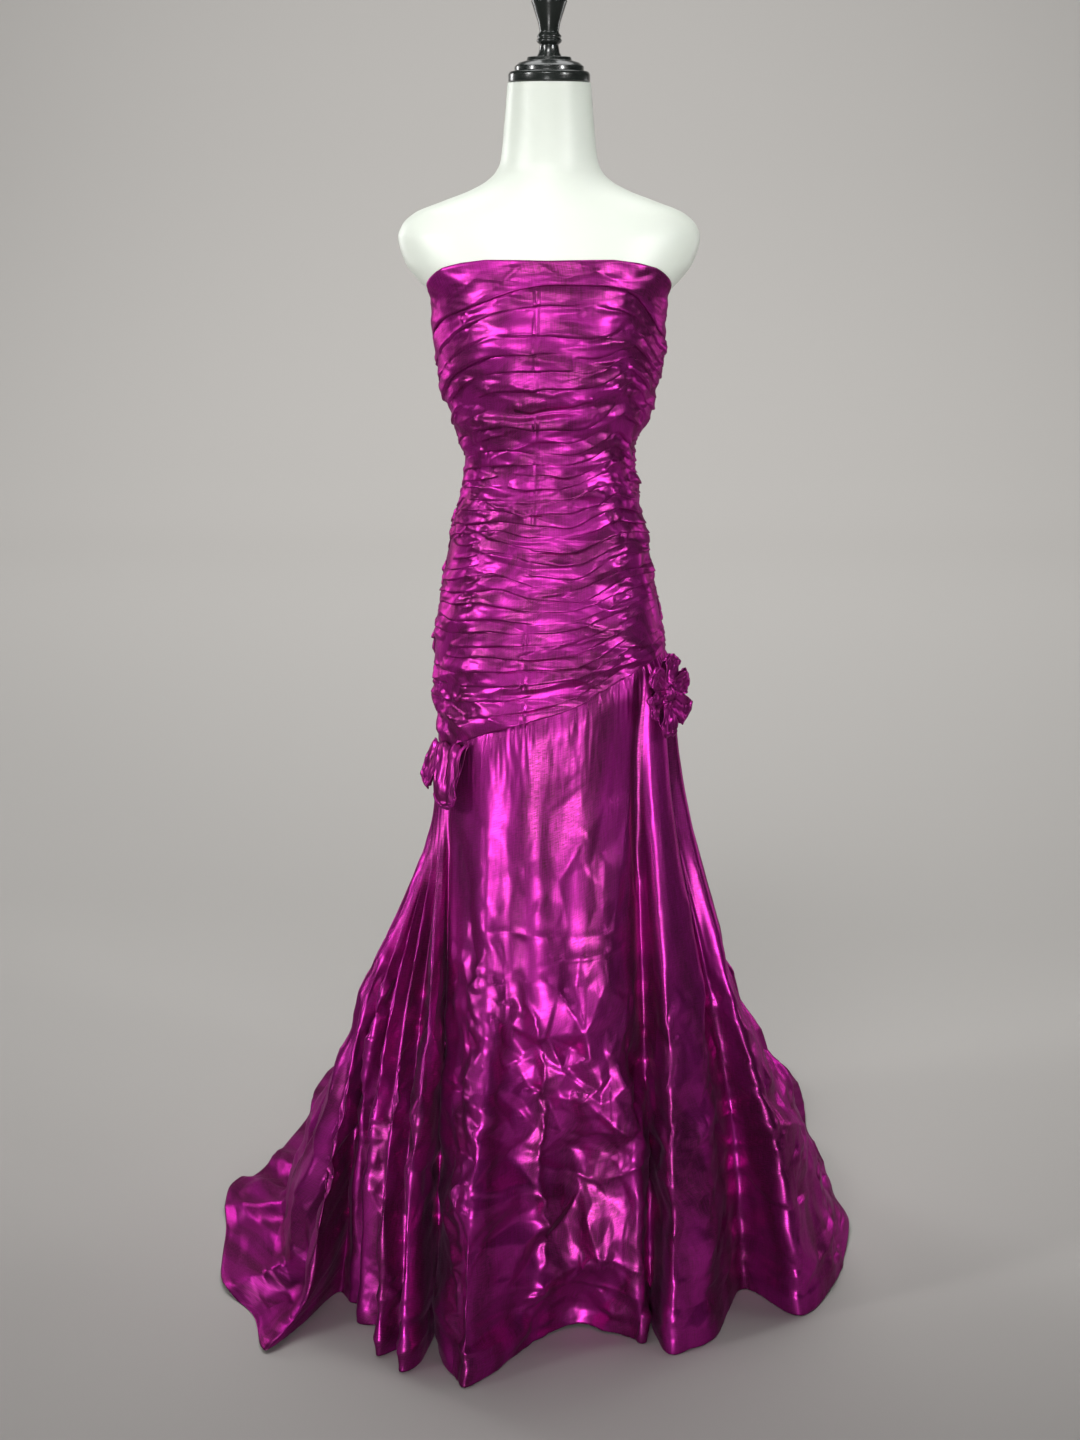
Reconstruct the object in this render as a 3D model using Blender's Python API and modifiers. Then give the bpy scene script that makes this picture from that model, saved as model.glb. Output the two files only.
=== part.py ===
"""Evening gown on a limbless dress form. Metres, Z up, the front of the gown faces -Y."""

import math
from collections import namedtuple

import bpy
import numpy as np

# Sizes in millimetres. Angles are in degrees round the form: 0 at the front, 90 at +X,
# which is the wearer's left, and 180 at the back.

OBJECT = "evening_gown"
FORM_COLUMNS = 32  # points round the form, and round the bodice over it
SEAM_GAP = 0.3
BASE_DIAMETER = 236
BASE_THICKNESS = 12
POLE_DIAMETER = 26
FORM_BOTTOM = 720
NECK_TOP = 1553
BUST_SIDE = 66  # from the centre line to each side of the bust
BUST_HEIGHT = 1236
BUST_FULLNESS = 19
BUST_SPREAD = 52

LINING_CLEAR = 1.25  # between the form and the inside of the bodice
TUCK_VALLEY = 2.9  # from the form to the bottom of the crease between two tucks
TUCK_RISE = 4.2  # how far a tuck stands out from its crease
TUCK_CREST = 0.68  # where a tuck is fullest, as a share of the way down it
BACK_TUCKS = 30
# How far down the bodice each row of its plain inside is: closest over the bust and at the waist.
LINING_ROWS = (0, 0.05, 0.1, 0.15, 0.2, 0.25, 0.3, 0.36, 0.42, 0.48, 0.54, 0.61, 0.69, 0.78, 0.89, 1)

BAND_CLEAR = 0.6
BAND_THICK = 4.0
BAND_CREASE = 0.9

SKIRT_WALL = 1.6
SKIRT_STAND_OFF = 3.2  # from the form to the middle of the cloth at the dropped seam
COLUMNS_PER_FOLD_LINE = 2
KNEE_HEIGHT = 400
EDGE_DRAWN_IN = 0.24  # how far each side of a skirt piece stops short of its seam
OUTSIDE_FLOOR_GAP = 0.4  # the least height of the outside of the cloth; its inside may touch the floor
SHARPEST_CORNER = 2.2  # how many times thicker the cloth may be on the bisector of a sharp fold

LOOP_WALL = 1.6

Section = namedtuple("Section", "height half_width front back")
# The form, from its underside to the top of its neck.
SECTIONS = (
    Section(720, 132, 98, 102),
    Section(780, 138, 103, 112),
    Section(862, 142, 104, 117),
    Section(901, 139, 102, 114),
    Section(952, 130, 98, 107),
    Section(989, 124, 96, 101),
    Section(1027, 116, 92, 94),
    Section(1052, 110, 89, 89),
    Section(1077, 105, 87, 84),
    Section(1108, 102.5, 86, 81),
    Section(1139, 110, 90, 85),
    Section(1176, 125, 97, 92),
    Section(1212, 135, 103, 97),
    Section(1249, 138, 105, 99),
    Section(1273, 138.5, 105, 99),
    Section(1300, 140.5, 102, 98),
    Section(1309, 147, 100, 97),
    Section(1321, 159, 98, 96),
    Section(1345, 176, 93, 93),
    Section(1373, 183, 85, 88),
    Section(1387, 178, 80, 85),
    Section(1401, 163, 75, 81),
    Section(1416, 126, 70, 77),
    Section(1427, 97, 67, 73),
    Section(1439, 75, 63, 69),
    Section(1450, 64, 58, 63),
    Section(1463, 58.5, 55, 59),
    Section(1510, 53.5, 52, 54),
    Section(NECK_TOP, 50, 50, 50),
)
FORM_HEIGHTS = (
    720, 745, 780, 820, 862, 890, 915, 940, 965, 990, 1015, 1040, 1062, 1082, 1100, 1118, 1138, 1160,
    1180, 1198, 1216, 1234, 1252, 1270, 1286, 1300, 1306, 1313, 1323, 1345, 1361, 1375, 1386, 1396,
    1405, 1414, 1425, 1439, 1450, 1463, 1510, 1553,
)

Edge = namedtuple("Edge", "angle height")
# Top edge of the gown, the same on both sides.
TOP_EDGE = (
    Edge(0, 1347), Edge(20, 1348), Edge(40, 1341), Edge(60, 1324), Edge(90, 1297),
    Edge(125, 1275), Edge(180, 1262),
)
# Lower edge of the folded band.
BAND_EDGE = (
    Edge(-180, 1222), Edge(-135, 1230), Edge(-90, 1250), Edge(-72, 1270), Edge(-50, 1285),
    Edge(-31, 1298), Edge(-15, 1311), Edge(0, 1319), Edge(19, 1318), Edge(36, 1311),
    Edge(50, 1296), Edge(66, 1265), Edge(90, 1246), Edge(135, 1228), Edge(180, 1222),
)
# Dropped seam between bodice and skirt, low on the wearer's right.
HIP_SEAM = (
    Edge(-180, 800), Edge(-135, 776), Edge(-100, 754), Edge(-75, 749), Edge(-57, 756),
    Edge(-33, 775), Edge(-15, 789), Edge(0, 801), Edge(10, 811), Edge(22, 828),
    Edge(35, 843), Edge(50, 856), Edge(64, 864), Edge(90, 868), Edge(120, 855),
    Edge(150, 830), Edge(180, 800),
)

# Each tuck's lower crease on the front, in thousandths of the way from the band to the seam.
Tuck = namedtuple("Tuck", "far_right right centre left far_left")
TUCK_ANGLES = Tuck(-72, -31, -5, 19, 43)
FRONT_TUCKS = (
    Tuck(70, 35, 46, 53, 50),
    Tuck(116, 85, 110, 128, 88),
    Tuck(153, 122, 149, 172, 122),
    Tuck(186, 164, 191, 203, 157),
    Tuck(216, 206, 234, 240, 188),
    Tuck(244, 239, 283, 276, 221),
    Tuck(267, 277, 322, 339, 262),
    Tuck(288, 303, 354, 373, 309),
    Tuck(312, 333, 382, 405, 356),
    Tuck(340, 370, 407, 429, 392),
    Tuck(362, 397, 433, 452, 425),
    Tuck(384, 423, 460, 478, 461),
    Tuck(408, 449, 490, 508, 492),
    Tuck(434, 474, 520, 540, 525),
    Tuck(463, 501, 547, 569, 558),
    Tuck(491, 527, 577, 600, 588),
    Tuck(519, 551, 604, 632, 622),
    Tuck(545, 576, 632, 664, 652),
    Tuck(572, 602, 661, 696, 682),
    Tuck(599, 630, 690, 726, 713),
    Tuck(625, 661, 719, 751, 745),
    Tuck(653, 693, 745, 774, 775),
    Tuck(682, 725, 771, 796, 803),
    Tuck(712, 758, 797, 820, 829),
    Tuck(743, 789, 825, 847, 854),
    Tuck(774, 819, 854, 876, 879),
    Tuck(806, 850, 883, 905, 903),
    Tuck(840, 884, 913, 931, 928),
    Tuck(879, 920, 943, 956, 953),
    Tuck(926, 957, 972, 978, 976),
)

# Fold lines of the skirt, ridges and valleys in turn, from the back round the wearer's right.
# angle: where it leaves the seam. hip: how far it stands out just below the seam.
# knee_x, knee_y: where it is at knee height. hem_x, hem_y: where it lands on the floor.
# train: 0 for a line that hangs to its hem, 1 for one that reaches the floor and lies on it.
# lift: how high it stands off the floor there.
Fold = namedtuple("Fold", "angle hip knee_x knee_y hem_x hem_y train lift")
FOLDS = (
    Fold(-180, 20, 0, 276, 20, 985, 1, 14),
    Fold(-172, 16, -56, 262, -150, 968, 1, 0),
    Fold(-164, 21, -110, 266, -274, 902, 1, 16),
    Fold(-156, 15, -140, 226, -348, 800, 1, 0),
    Fold(-148, 19, -178, 214, -374, 672, 0.95, 15),
    Fold(-140, 13, -188, 166, -380, 566, 0.9, 0),
    Fold(-132, 17, -212, 146, -404, 458, 0.85, 14),
    Fold(-124, 12, -216, 100, -428, 366, 0.8, 0),
    Fold(-116, 16, -236, 78, -464, 280, 0.75, 16),
    Fold(-108, 11, -234, 38, -452, 140, 0.75, 0),
    Fold(-101, 14, -244, 8, -438, -6, 0.75, 15),
    Fold(-96, 9, -230, -12, -386, -100, 0.7, 2),
    Fold(-92, 13, -238, -42, -352, -200, 0.6, 10),
    Fold(-88, 6, -216, -34, -284, -40, 0.2, 0),
    Fold(-85, 12, -222, -72, -262, -64, 0, 0),
    Fold(-82, 7, -202, -60, -238, -72, 0, 0),
    Fold(-79, 13, -204, -104, -245, -118, 0, 0),
    Fold(-76, 6, -182, -86, -212, -134, 0, 0),
    Fold(-73, 13, -182, -132, -216, -207, 0, 0),
    Fold(-70, 6, -162, -104, -184, -190, 0, 0),
    Fold(-67, 14, -154, -154, -184, -248, 0, 0),
    Fold(-65, 10, -140, -140, -160, -222, 0, 0),
    Fold(-63, 4, -131, -94, -143, -138, 0, 0),
    Fold(-59, 6, -127, -110, -136, -190, 0, 0),
    Fold(-52, 7, -114, -124, -126, -236, 0, 0),
    Fold(-42, 9, -97, -143, -112, -268, 0, 0),
    Fold(-31, 15, -77, -166, -98, -284, 0, 0),
    Fold(-19, 9, -46, -157, -40, -190, 0, 0),
    Fold(-7, 12, -8, -164, 2, -150, 0, 3),
    Fold(6, 9, 24, -157, 40, -134, 0, 8),
    Fold(18, 11, 52, -158, 76, -144, 0, 4),
    Fold(30, 10, 79, -152, 100, -160, 0, 0),
    Fold(41, 9, 104, -126, 121, -172, 0, 0),
    Fold(48, 4, 119, -92, 131, -114, 0, 0),
    Fold(54, 18, 142, -132, 146, -196, 0, 0),
    Fold(61, 22, 170, -134, 178, -210, 0, 0),
    Fold(69, 20, 198, -110, 214, -172, 0, 0),
    Fold(77, 10, 200, -64, 236, -84, 0, 0),
    Fold(83, 8, 212, -36, 262, -24, 0, 0),
    Fold(88, 22, 240, -52, 316, -96, 0, 0),
    Fold(93, 25, 250, -28, 346, -86, 0.05, 0),
    Fold(99, 24, 252, -2, 376, -26, 0.1, 4),
    Fold(106, 18, 244, 30, 402, 58, 0.2, 0),
    Fold(114, 24, 248, 72, 420, 170, 0.35, 10),
    Fold(122, 18, 230, 102, 412, 290, 0.5, 0),
    Fold(130, 23, 228, 146, 408, 400, 0.65, 14),
    Fold(139, 16, 198, 168, 404, 530, 0.8, 0),
    Fold(147, 22, 184, 216, 410, 650, 0.9, 15),
    Fold(155, 16, 146, 228, 400, 768, 1, 0),
    Fold(163, 21, 114, 268, 330, 892, 1, 16),
    Fold(171, 16, 56, 262, 190, 966, 1, 0),
)
# How far down its cut each row of the skirt is, from the seam to the hem.
SKIRT_ROWS = (0, 0.04, 0.13, 0.24, 0.36, 0.48, 0.6, 0.7, 0.79, 0.87, 0.93, 1)

Panel = namedtuple("Panel", "name first last")
# Skirt pieces, each from one angle to another. Where the folds are tight they meet on the side of
# a fold, halfway between two fold lines, so that their edges lie flat against each other.
SKIRT_PANELS = (
    Panel("skirt_back_right", -180, -96),
    Panel("skirt_side_right", -96, -64),
    Panel("skirt_front", -64, 51),
    Panel("skirt_side_left", 51, 106),
    Panel("skirt_back_left", 106, 180),
)

Loop = namedtuple("Loop", "name angle height out direction root length width gap tilt")
# Loops of cloth: where each springs from the hip, which way it points (0 is towards +X round the
# form, 90 is up), and how long, wide and deep it is.
LOOPS = (
    Loop("rosette_loop_1", 60, 822, 22.1, 78, 10.7, 27, 23, 11, 0.05),
    Loop("rosette_loop_2", 60, 822, 22.1, 18, 10.7, 25, 22, 12, 0.10),
    Loop("rosette_loop_3", 60, 822, 22.1, -42, 10.7, 29, 24, 12, 0.22),
    Loop("rosette_loop_4", 60, 822, 22.1, -102, 10.7, 31, 24, 11, 0.26),
    Loop("rosette_loop_5", 60, 822, 22.1, -162, 10.7, 26, 23, 12, 0.16),
    Loop("rosette_loop_6", 60, 822, 22.1, 138, 10.7, 24, 22, 11, 0.05),
    Loop("hip_puff_front", -54, 750, 6.6, -86, 2, 50, 38, 13, 0.34),
    Loop("hip_puff_side", -71, 744, 7.1, -100, 2, 34, 28, 10, 0.40),
)
KNOT_RADIUS = 10.6

Turned = namedtuple("Turned", "radius height")
NECK_CAP = (
    Turned(0, 1553.3), Turned(47.5, 1553.3), Turned(49, 1555), Turned(49, 1563), Turned(47, 1566),
    Turned(41.5, 1567), Turned(41.5, 1572), Turned(36, 1576.5), Turned(27, 1579), Turned(26, 1583),
    Turned(0, 1583),
)
FINIAL = (
    Turned(0, 1583.3), Turned(15, 1583.3), Turned(12.5, 1588), Turned(11, 1597), Turned(14.5, 1600),
    Turned(15.3, 1602.3), Turned(13.4, 1604.6), Turned(14.8, 1607), Turned(12.6, 1609.6),
    Turned(11.4, 1612), Turned(13.2, 1622), Turned(17.2, 1634), Turned(20.3, 1643.5),
    Turned(21.6, 1647), Turned(20, 1650), Turned(13, 1652), Turned(16.6, 1657), Turned(19, 1664.5),
    Turned(17.8, 1672), Turned(12.4, 1679), Turned(5, 1683), Turned(0, 1684),
)

Finish = namedtuple("Finish", "name colour metallic roughness")
SATIN = Finish("satin_magenta", (0.38, 0.01, 0.22), 0.35, 0.32)
JERSEY = Finish("form_white", (0.80, 0.80, 0.76), 0.0, 0.6)
LACQUER = Finish("lacquered_wood", (0.012, 0.014, 0.013), 0.0, 0.25)
STEEL = Finish("stand_black", (0.03, 0.03, 0.03), 0.6, 0.35)


def clear_scene():
    for thing in list(bpy.data.objects):
        bpy.data.objects.remove(thing, do_unlink=True)


def smooth(xs, ys, x):
    """A cubic through the points (xs, ys) that never overshoots them."""
    xs = np.asarray(xs, float)
    ys = np.asarray(ys, float)
    step = np.diff(xs)
    slope = np.diff(ys) / step
    before, after = slope[:-1], slope[1:]
    total = np.where(before + after == 0, 1, before + after)
    tangent = np.concatenate([slope[:1], np.where(before * after > 0, 2 * before * after / total, 0), slope[-1:]])
    at = np.clip(np.searchsorted(xs, x, "right") - 1, 0, len(step) - 1)
    u = np.clip((x - xs[at]) / step[at], 0, 1)
    rise = ys[at + 1] - ys[at]
    start, end = tangent[at] * step[at], tangent[at + 1] * step[at]
    return ys[at] + u * (start + u * (3 * rise - 2 * start - end + u * (start + end - 2 * rise)))


def section_at(height):
    heights = [s.height for s in SECTIONS]
    return (
        smooth(heights, [s.half_width for s in SECTIONS], height),
        smooth(heights, [s.front for s in SECTIONS], height),
        smooth(heights, [s.back for s in SECTIONS], height),
    )


def on_form(angle, height):
    """Plan position of the form's surface at each angle and height."""
    angle, height = np.broadcast_arrays(np.asarray(angle, float), np.asarray(height, float))
    half_width, front, back = section_at(height)
    squareness = 1 - 0.1 * np.clip((1440 - height) / 40, 0, 1)
    sine, cosine = np.sin(np.radians(angle)), np.cos(np.radians(angle))
    x = half_width * np.sign(sine) * np.abs(sine) ** squareness
    y = -np.where(cosine > 0, front, back) * np.sign(cosine) * np.abs(cosine) ** squareness
    near = np.exp(-((np.abs(x) - BUST_SIDE) ** 2 + (height - BUST_HEIGHT) ** 2) / (2 * BUST_SPREAD**2))
    return x, y - np.where(cosine > 0, BUST_FULLNESS * near * cosine, 0)


def off_form(angle, height, out):
    """Points that stand `out` from the form, measured level."""
    x, y = on_form(angle, height)
    x_next, y_next = on_form(np.asarray(angle) + 0.5, height)
    x_last, y_last = on_form(np.asarray(angle) - 0.5, height)
    along_x, along_y = x_next - x_last, y_next - y_last
    length = np.hypot(along_x, along_y)
    height = np.broadcast_to(height, x.shape)
    return np.stack([x + out * along_y / length, y - out * along_x / length, height], axis=-1)


def knots(edge, mirrored=False):
    """An edge's height at the form's columns, where it bends, and straight between them."""
    columns = np.linspace(-180, 180, FORM_COLUMNS + 1)
    at = np.abs(columns) if mirrored else columns
    return columns, smooth([e.angle for e in edge], [e.height for e in edge], at)


def top_edge(angle):
    return np.interp(angle, *knots(TOP_EDGE, mirrored=True))


def band_edge(angle):
    return np.interp(angle, *knots(BAND_EDGE))


def hip_seam(angle):
    return np.interp(angle, *knots(HIP_SEAM))


def column_angles(first, last, step):
    """Angles from one side of a piece to the other, drawn in by half a seam gap at each end."""
    angles = np.arange(first, last + step / 2, step)
    drawn_in = math.degrees(SEAM_GAP / 2 / 105)
    angles[0] += drawn_in
    angles[-1] -= drawn_in
    return angles


def material(finish):
    found = bpy.data.materials.get(finish.name)
    if found:
        return found
    made = bpy.data.materials.new(finish.name)
    made.use_nodes = True
    principled = made.node_tree.nodes["Principled BSDF"]
    principled.inputs["Base Color"].default_value = (*finish.colour, 1)
    principled.inputs["Metallic"].default_value = finish.metallic
    principled.inputs["Roughness"].default_value = finish.roughness
    made.diffuse_color = (*finish.colour, 1)
    return made


def add_object(name, points, faces, finish, edges=()):
    mesh = bpy.data.meshes.new(name)
    mesh.from_pydata([tuple(p) for p in np.asarray(points) / 1000], edges, faces)
    mesh.materials.append(material(finish))
    made = bpy.data.objects.new(name, mesh)
    collection.objects.link(made)
    return made


def grid_faces(start, rows, columns, flip):
    """Triangles of a grid of points that lie row after row from `start`.

    Every square is cut the same way, so the two skins of a twisted wall never cross."""
    faces = []
    for r in range(rows - 1):
        for c in range(columns - 1):
            a = start + r * columns + c
            for face in ((a, a + columns, a + columns + 1), (a, a + columns + 1, a + 1)):
                faces.append(face[::-1] if flip else face)
    return faces


def side_faces(outer, inner, outer_share, inner_share, flip):
    """Triangles that close the side of a wall, between a line of outer points and one of inner."""
    faces = []
    i = j = 0
    while i < len(outer) - 1 or j < len(inner) - 1:
        step_outer = j == len(inner) - 1 or (
            i < len(outer) - 1 and outer_share[i + 1] <= inner_share[j + 1]
        )
        if step_outer:
            face = (outer[i], inner[j], outer[i + 1])
            i += 1
        else:
            face = (outer[i], inner[j], inner[j + 1])
            j += 1
        faces.append(face[::-1] if flip else face)
    return faces


def add_wall(name, outer, inner, outer_share, inner_share):
    """A closed wall of cloth between two grids of points, each from its top row to its bottom row.

    The shares say how far down each row is, in each column, so that the sides close evenly."""
    columns = outer.shape[1]
    behind = outer.shape[0] * columns
    last_outer = behind - columns
    last_inner = behind + (inner.shape[0] - 1) * columns
    faces = grid_faces(0, outer.shape[0], columns, False)
    faces += grid_faces(behind, inner.shape[0], columns, True)
    for c in range(columns - 1):
        faces.append((c, c + 1, behind + c + 1, behind + c))
        faces.append((last_outer + c, last_inner + c, last_inner + c + 1, last_outer + c + 1))
    for c, flip in ((0, False), (columns - 1, True)):
        faces += side_faces(
            list(range(c, behind, columns)),
            list(range(behind + c, last_inner + columns, columns)),
            outer_share[:, c],
            inner_share[:, c],
            flip,
        )
    points = np.concatenate([outer.reshape(-1, 3), inner.reshape(-1, 3)])
    return add_object(name, points, faces, SATIN)


def add_form():
    angles = np.arange(FORM_COLUMNS) * 360 / FORM_COLUMNS
    rings = off_form(angles[None, :], np.array(FORM_HEIGHTS)[:, None], 0)
    count = FORM_COLUMNS
    faces = [tuple(range(count))[::-1]]
    for r in range(len(FORM_HEIGHTS) - 1):
        for c in range(count):
            near = (c + 1) % count
            faces.append((r * count + c, r * count + near, (r + 1) * count + near, (r + 1) * count + c))
    faces.append(tuple((len(FORM_HEIGHTS) - 1) * count + c for c in range(count)))
    torso = add_object("form_torso", rings.reshape(-1, 3), faces, JERSEY)
    torso.data.shade_smooth()
    torso.data.set_sharp_from_angle(angle=math.radians(40))


def add_turned(name, profile, finish, steps):
    points = [(row.radius, 0, row.height) for row in reversed(profile)]
    edges = [(i, i + 1) for i in range(len(points) - 1)]
    made = add_object(name, points, [], finish, edges)
    screw = made.modifiers.new("turn", "SCREW")
    screw.steps = screw.render_steps = steps
    screw.use_merge_vertices = True
    screw.merge_threshold = 0.00001
    screw.use_smooth_shade = True


def add_stand():
    half = BASE_DIAMETER / 2
    plate = (
        Turned(0, 0), Turned(half - 1, 0), Turned(half, 1), Turned(half, BASE_THICKNESS - 4),
        Turned(half - 4, BASE_THICKNESS - 1), Turned(half - 8, BASE_THICKNESS), Turned(0, BASE_THICKNESS),
    )
    add_turned("stand_base", plate, STEEL, 32)
    foot, top = BASE_THICKNESS + SEAM_GAP, FORM_BOTTOM - SEAM_GAP
    pole = (
        Turned(0, foot), Turned(POLE_DIAMETER / 2 + 10, foot), Turned(POLE_DIAMETER / 2 + 8, foot + 6),
        Turned(POLE_DIAMETER / 2, foot + 12), Turned(POLE_DIAMETER / 2, top), Turned(0, top),
    )
    add_turned("stand_pole", pole, STEEL, 16)
    add_turned("neck_cap", NECK_CAP, LACQUER, 24)
    add_turned("neck_finial", FINIAL, LACQUER, 16)


def band_out(angle, share):
    """How far the folded band stands from the form: rounded edges and a few slanting creases."""
    rounded = smooth((0, 0.12, 0.45, 0.85, 1), (0.45, 0.85, 1, 1, 0.8), share)
    crease = np.sin(np.radians(angle * 5 + share * 260)) + 0.6 * np.sin(np.radians(angle * 11 - share * 190))
    return BAND_CLEAR + BAND_THICK * rounded + BAND_CREASE * crease * np.sin(np.pi * share)


def down_every_column(rows, columns):
    """The same shares down each of the columns."""
    return np.repeat(np.array(rows, float)[:, None], np.size(columns), axis=1)


def add_band(name, first, last, step):
    angle = column_angles(first, last, step)[None, :]
    upper, lower = top_edge(angle), band_edge(angle) + SEAM_GAP
    outer_share = down_every_column((0, 0.1, 0.3, 0.5, 0.7, 0.9, 1), angle)
    inner_share = down_every_column((0, 0.15, 0.35, 0.65, 1), angle)
    outer_height = upper + outer_share * (lower - upper)
    inner_height = upper + inner_share * (lower - upper)
    outer = off_form(angle, outer_height, band_out(angle, outer_share))
    inner = off_form(angle, inner_height, BAND_CLEAR)
    add_wall(name, outer, inner, outer_share, inner_share)


def front_crease(index, angle):
    row = FRONT_TUCKS[index]
    return np.interp(angle, TUCK_ANGLES, row) / 1000


def back_crease(index, angle):
    """Creases on the back run round level from one side to the other, with a little wander."""
    even = (index + 0.8) / (BACK_TUCKS + 0.6)
    return even + 0.006 * np.sin(np.radians(3 * angle + 47 * index))


def add_bodice(name, first, last, crease_at, count):
    angle = column_angles(first, last, 360 / FORM_COLUMNS)
    creases = np.array([crease_at(i, angle) for i in range(count)])
    creases = np.concatenate([np.zeros((1, len(angle))), creases, np.ones((1, len(angle)))])
    fullness = 0.72 + 0.28 * np.cos(np.radians(2 * angle)) ** 2
    shares, outs = [], []
    for i in range(len(creases) - 1):
        span = creases[i + 1] - creases[i]
        wander = 1 + 0.22 * math.sin(2.4 * i + 0.7) + 0.12 * np.sin(np.radians(angle * 4 + 130 * i))
        rise = TUCK_RISE * fullness * wander * np.clip(span / 0.03, 0.4, 1.15)
        shares += [creases[i], creases[i] + TUCK_CREST * span]
        outs += [np.full(len(angle), TUCK_VALLEY), TUCK_VALLEY + rise]
    shares.append(creases[-1])
    outs.append(np.full(len(angle), TUCK_VALLEY))
    shares, outs = np.array(shares), np.array(outs)
    inner_share = down_every_column(LINING_ROWS, angle)
    upper = band_edge(angle) - SEAM_GAP / 2
    lower = hip_seam(angle)
    outer = off_form(angle, upper + shares * (lower - upper), outs)
    inner = off_form(angle, upper + inner_share * (lower - upper), LINING_CLEAR)
    add_wall(name, outer, inner, shares, inner_share)


def blend(start, end, share):
    return start + (end - start) * share


def round_the_ring(values, parts):
    """A smooth closed curve through the values, with `parts` steps from each to the next."""
    before, after, next_but_one = (np.roll(values, shift, axis=0) for shift in (1, -1, -2))
    rows = []
    for k in range(parts):
        u = k / parts
        rows.append(
            0.5 * (
                2 * values + (after - before) * u
                + (2 * before - 5 * values + 4 * after - next_but_one) * u**2
                + (3 * values - before - 3 * after + next_but_one) * u**3
            )
        )
    return np.stack(rows, axis=1).reshape(-1, *values.shape[1:])


def fold_line(fold):
    """Points on one fold line from the seam to the hem, and how far down the cut each one is."""
    seam = float(hip_seam(fold.angle)) - 2 * SEAM_GAP
    knee = np.array((fold.knee_x, fold.knee_y))
    hem = np.array((fold.hem_x, fold.hem_y))
    top = off_form(fold.angle, seam, SKIRT_STAND_OFF)
    gathered = off_form(fold.angle, seam - 30, SKIRT_STAND_OFF + 0.55 * fold.hip)
    hip = off_form(fold.angle, seam * 0.87, SKIRT_STAND_OFF + fold.hip)
    ankle = blend(knee, hem, blend(0.74, 0.30, fold.train))
    floor = blend(knee, hem, blend(0.87, 0.48, fold.train))
    return np.array((
        top,
        gathered,
        hip,
        (*knee, KNEE_HEIGHT),
        (*ankle, blend(188, 100 + fold.lift, fold.train)),
        (*floor, blend(90, 4 + fold.lift, fold.train)),
        (*hem, SKIRT_WALL / 2 + 0.5 * fold.lift),
    ))


def skirt_grid(columns_per_line, rows):
    """Middle of the cloth all round the skirt: one column for each step round, from seam to hem."""
    lines = np.array([fold_line(fold) for fold in FOLDS])
    lines = round_the_ring(lines, columns_per_line)
    shares = (0, 0.04, 0.13, 0.47, 0.76, 0.87, 1)
    grid = np.empty((len(rows), len(lines), 3))
    for c, line in enumerate(lines):
        for axis in range(3):
            grid[:, c, axis] = smooth(shares, line[:, axis], np.array(rows))
    grid[..., 2] = np.maximum(grid[..., 2], SKIRT_WALL / 2)
    angles = np.array([fold.angle for fold in FOLDS], float)
    ring = np.radians(angles)
    turned = round_the_ring(np.stack([np.cos(ring), np.sin(ring)], axis=1), columns_per_line)
    at_seam = np.degrees(np.arctan2(turned[:, 1], turned[:, 0]))
    grid[0] = off_form(at_seam, hip_seam(at_seam) - 2 * SEAM_GAP, SKIRT_STAND_OFF)
    return grid


def unit(vectors):
    return vectors / np.linalg.norm(vectors, axis=-1, keepdims=True)


def cloth_normals(grid):
    """Directions off the cloth. Where it turns sharply they halve the corner and are longer."""
    down = np.gradient(grid, axis=0)
    ahead = np.roll(grid, -1, axis=1) - grid
    behind = np.roll(ahead, 1, axis=1)
    both = unit(np.cross(down, ahead)) + unit(np.cross(down, behind))
    longer = 2 / np.linalg.norm(both, axis=2, keepdims=True)
    return unit(both) * np.clip(longer, 1, SHARPEST_CORNER)


def column_of(angle):
    """The column of the skirt's grid that leaves the seam at this angle."""
    angles = [fold.angle for fold in FOLDS] + [180]
    return round(np.interp(angle, angles, range(len(angles))) * COLUMNS_PER_FOLD_LINE)


def add_skirt():
    grid = skirt_grid(COLUMNS_PER_FOLD_LINE, SKIRT_ROWS)
    normal = cloth_normals(grid)
    normal[0, :, 2] = 0
    outer = grid + normal * SKIRT_WALL / 2
    inner = grid - normal * SKIRT_WALL / 2
    outer[..., 2] = np.maximum(outer[..., 2], OUTSIDE_FLOOR_GAP)
    inner[..., 2] = np.maximum(inner[..., 2], 0)
    for panel in SKIRT_PANELS:
        columns = np.arange(column_of(panel.first), column_of(panel.last) + 1) % grid.shape[1]
        skins = []
        for skin in (outer, inner):
            skin = skin[:, columns].copy()
            middle = grid[:, columns]
            for end, beside in ((0, 1), (-1, -2)):
                inwards = unit(middle[:, beside] - middle[:, end])
                inwards[0, 2] = 0
                skin[:, end] += inwards * EDGE_DRAWN_IN
            skins.append(skin)
        shares = down_every_column(SKIRT_ROWS, columns)
        add_wall(panel.name, *skins, shares, shares)


def loop_frame(loop):
    """Where a loop springs from, and its directions: outwards, along the loop and across it."""
    centre = off_form(loop.angle, loop.height, loop.out)
    outwards = off_form(loop.angle, loop.height, loop.out + 1) - centre
    level = np.cross((0, 0, 1), outwards)
    turn = math.radians(loop.direction)
    along = math.cos(turn) * level + math.sin(turn) * np.array((0, 0, 1))
    return centre, outwards, along, np.cross(outwards, along)


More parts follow.
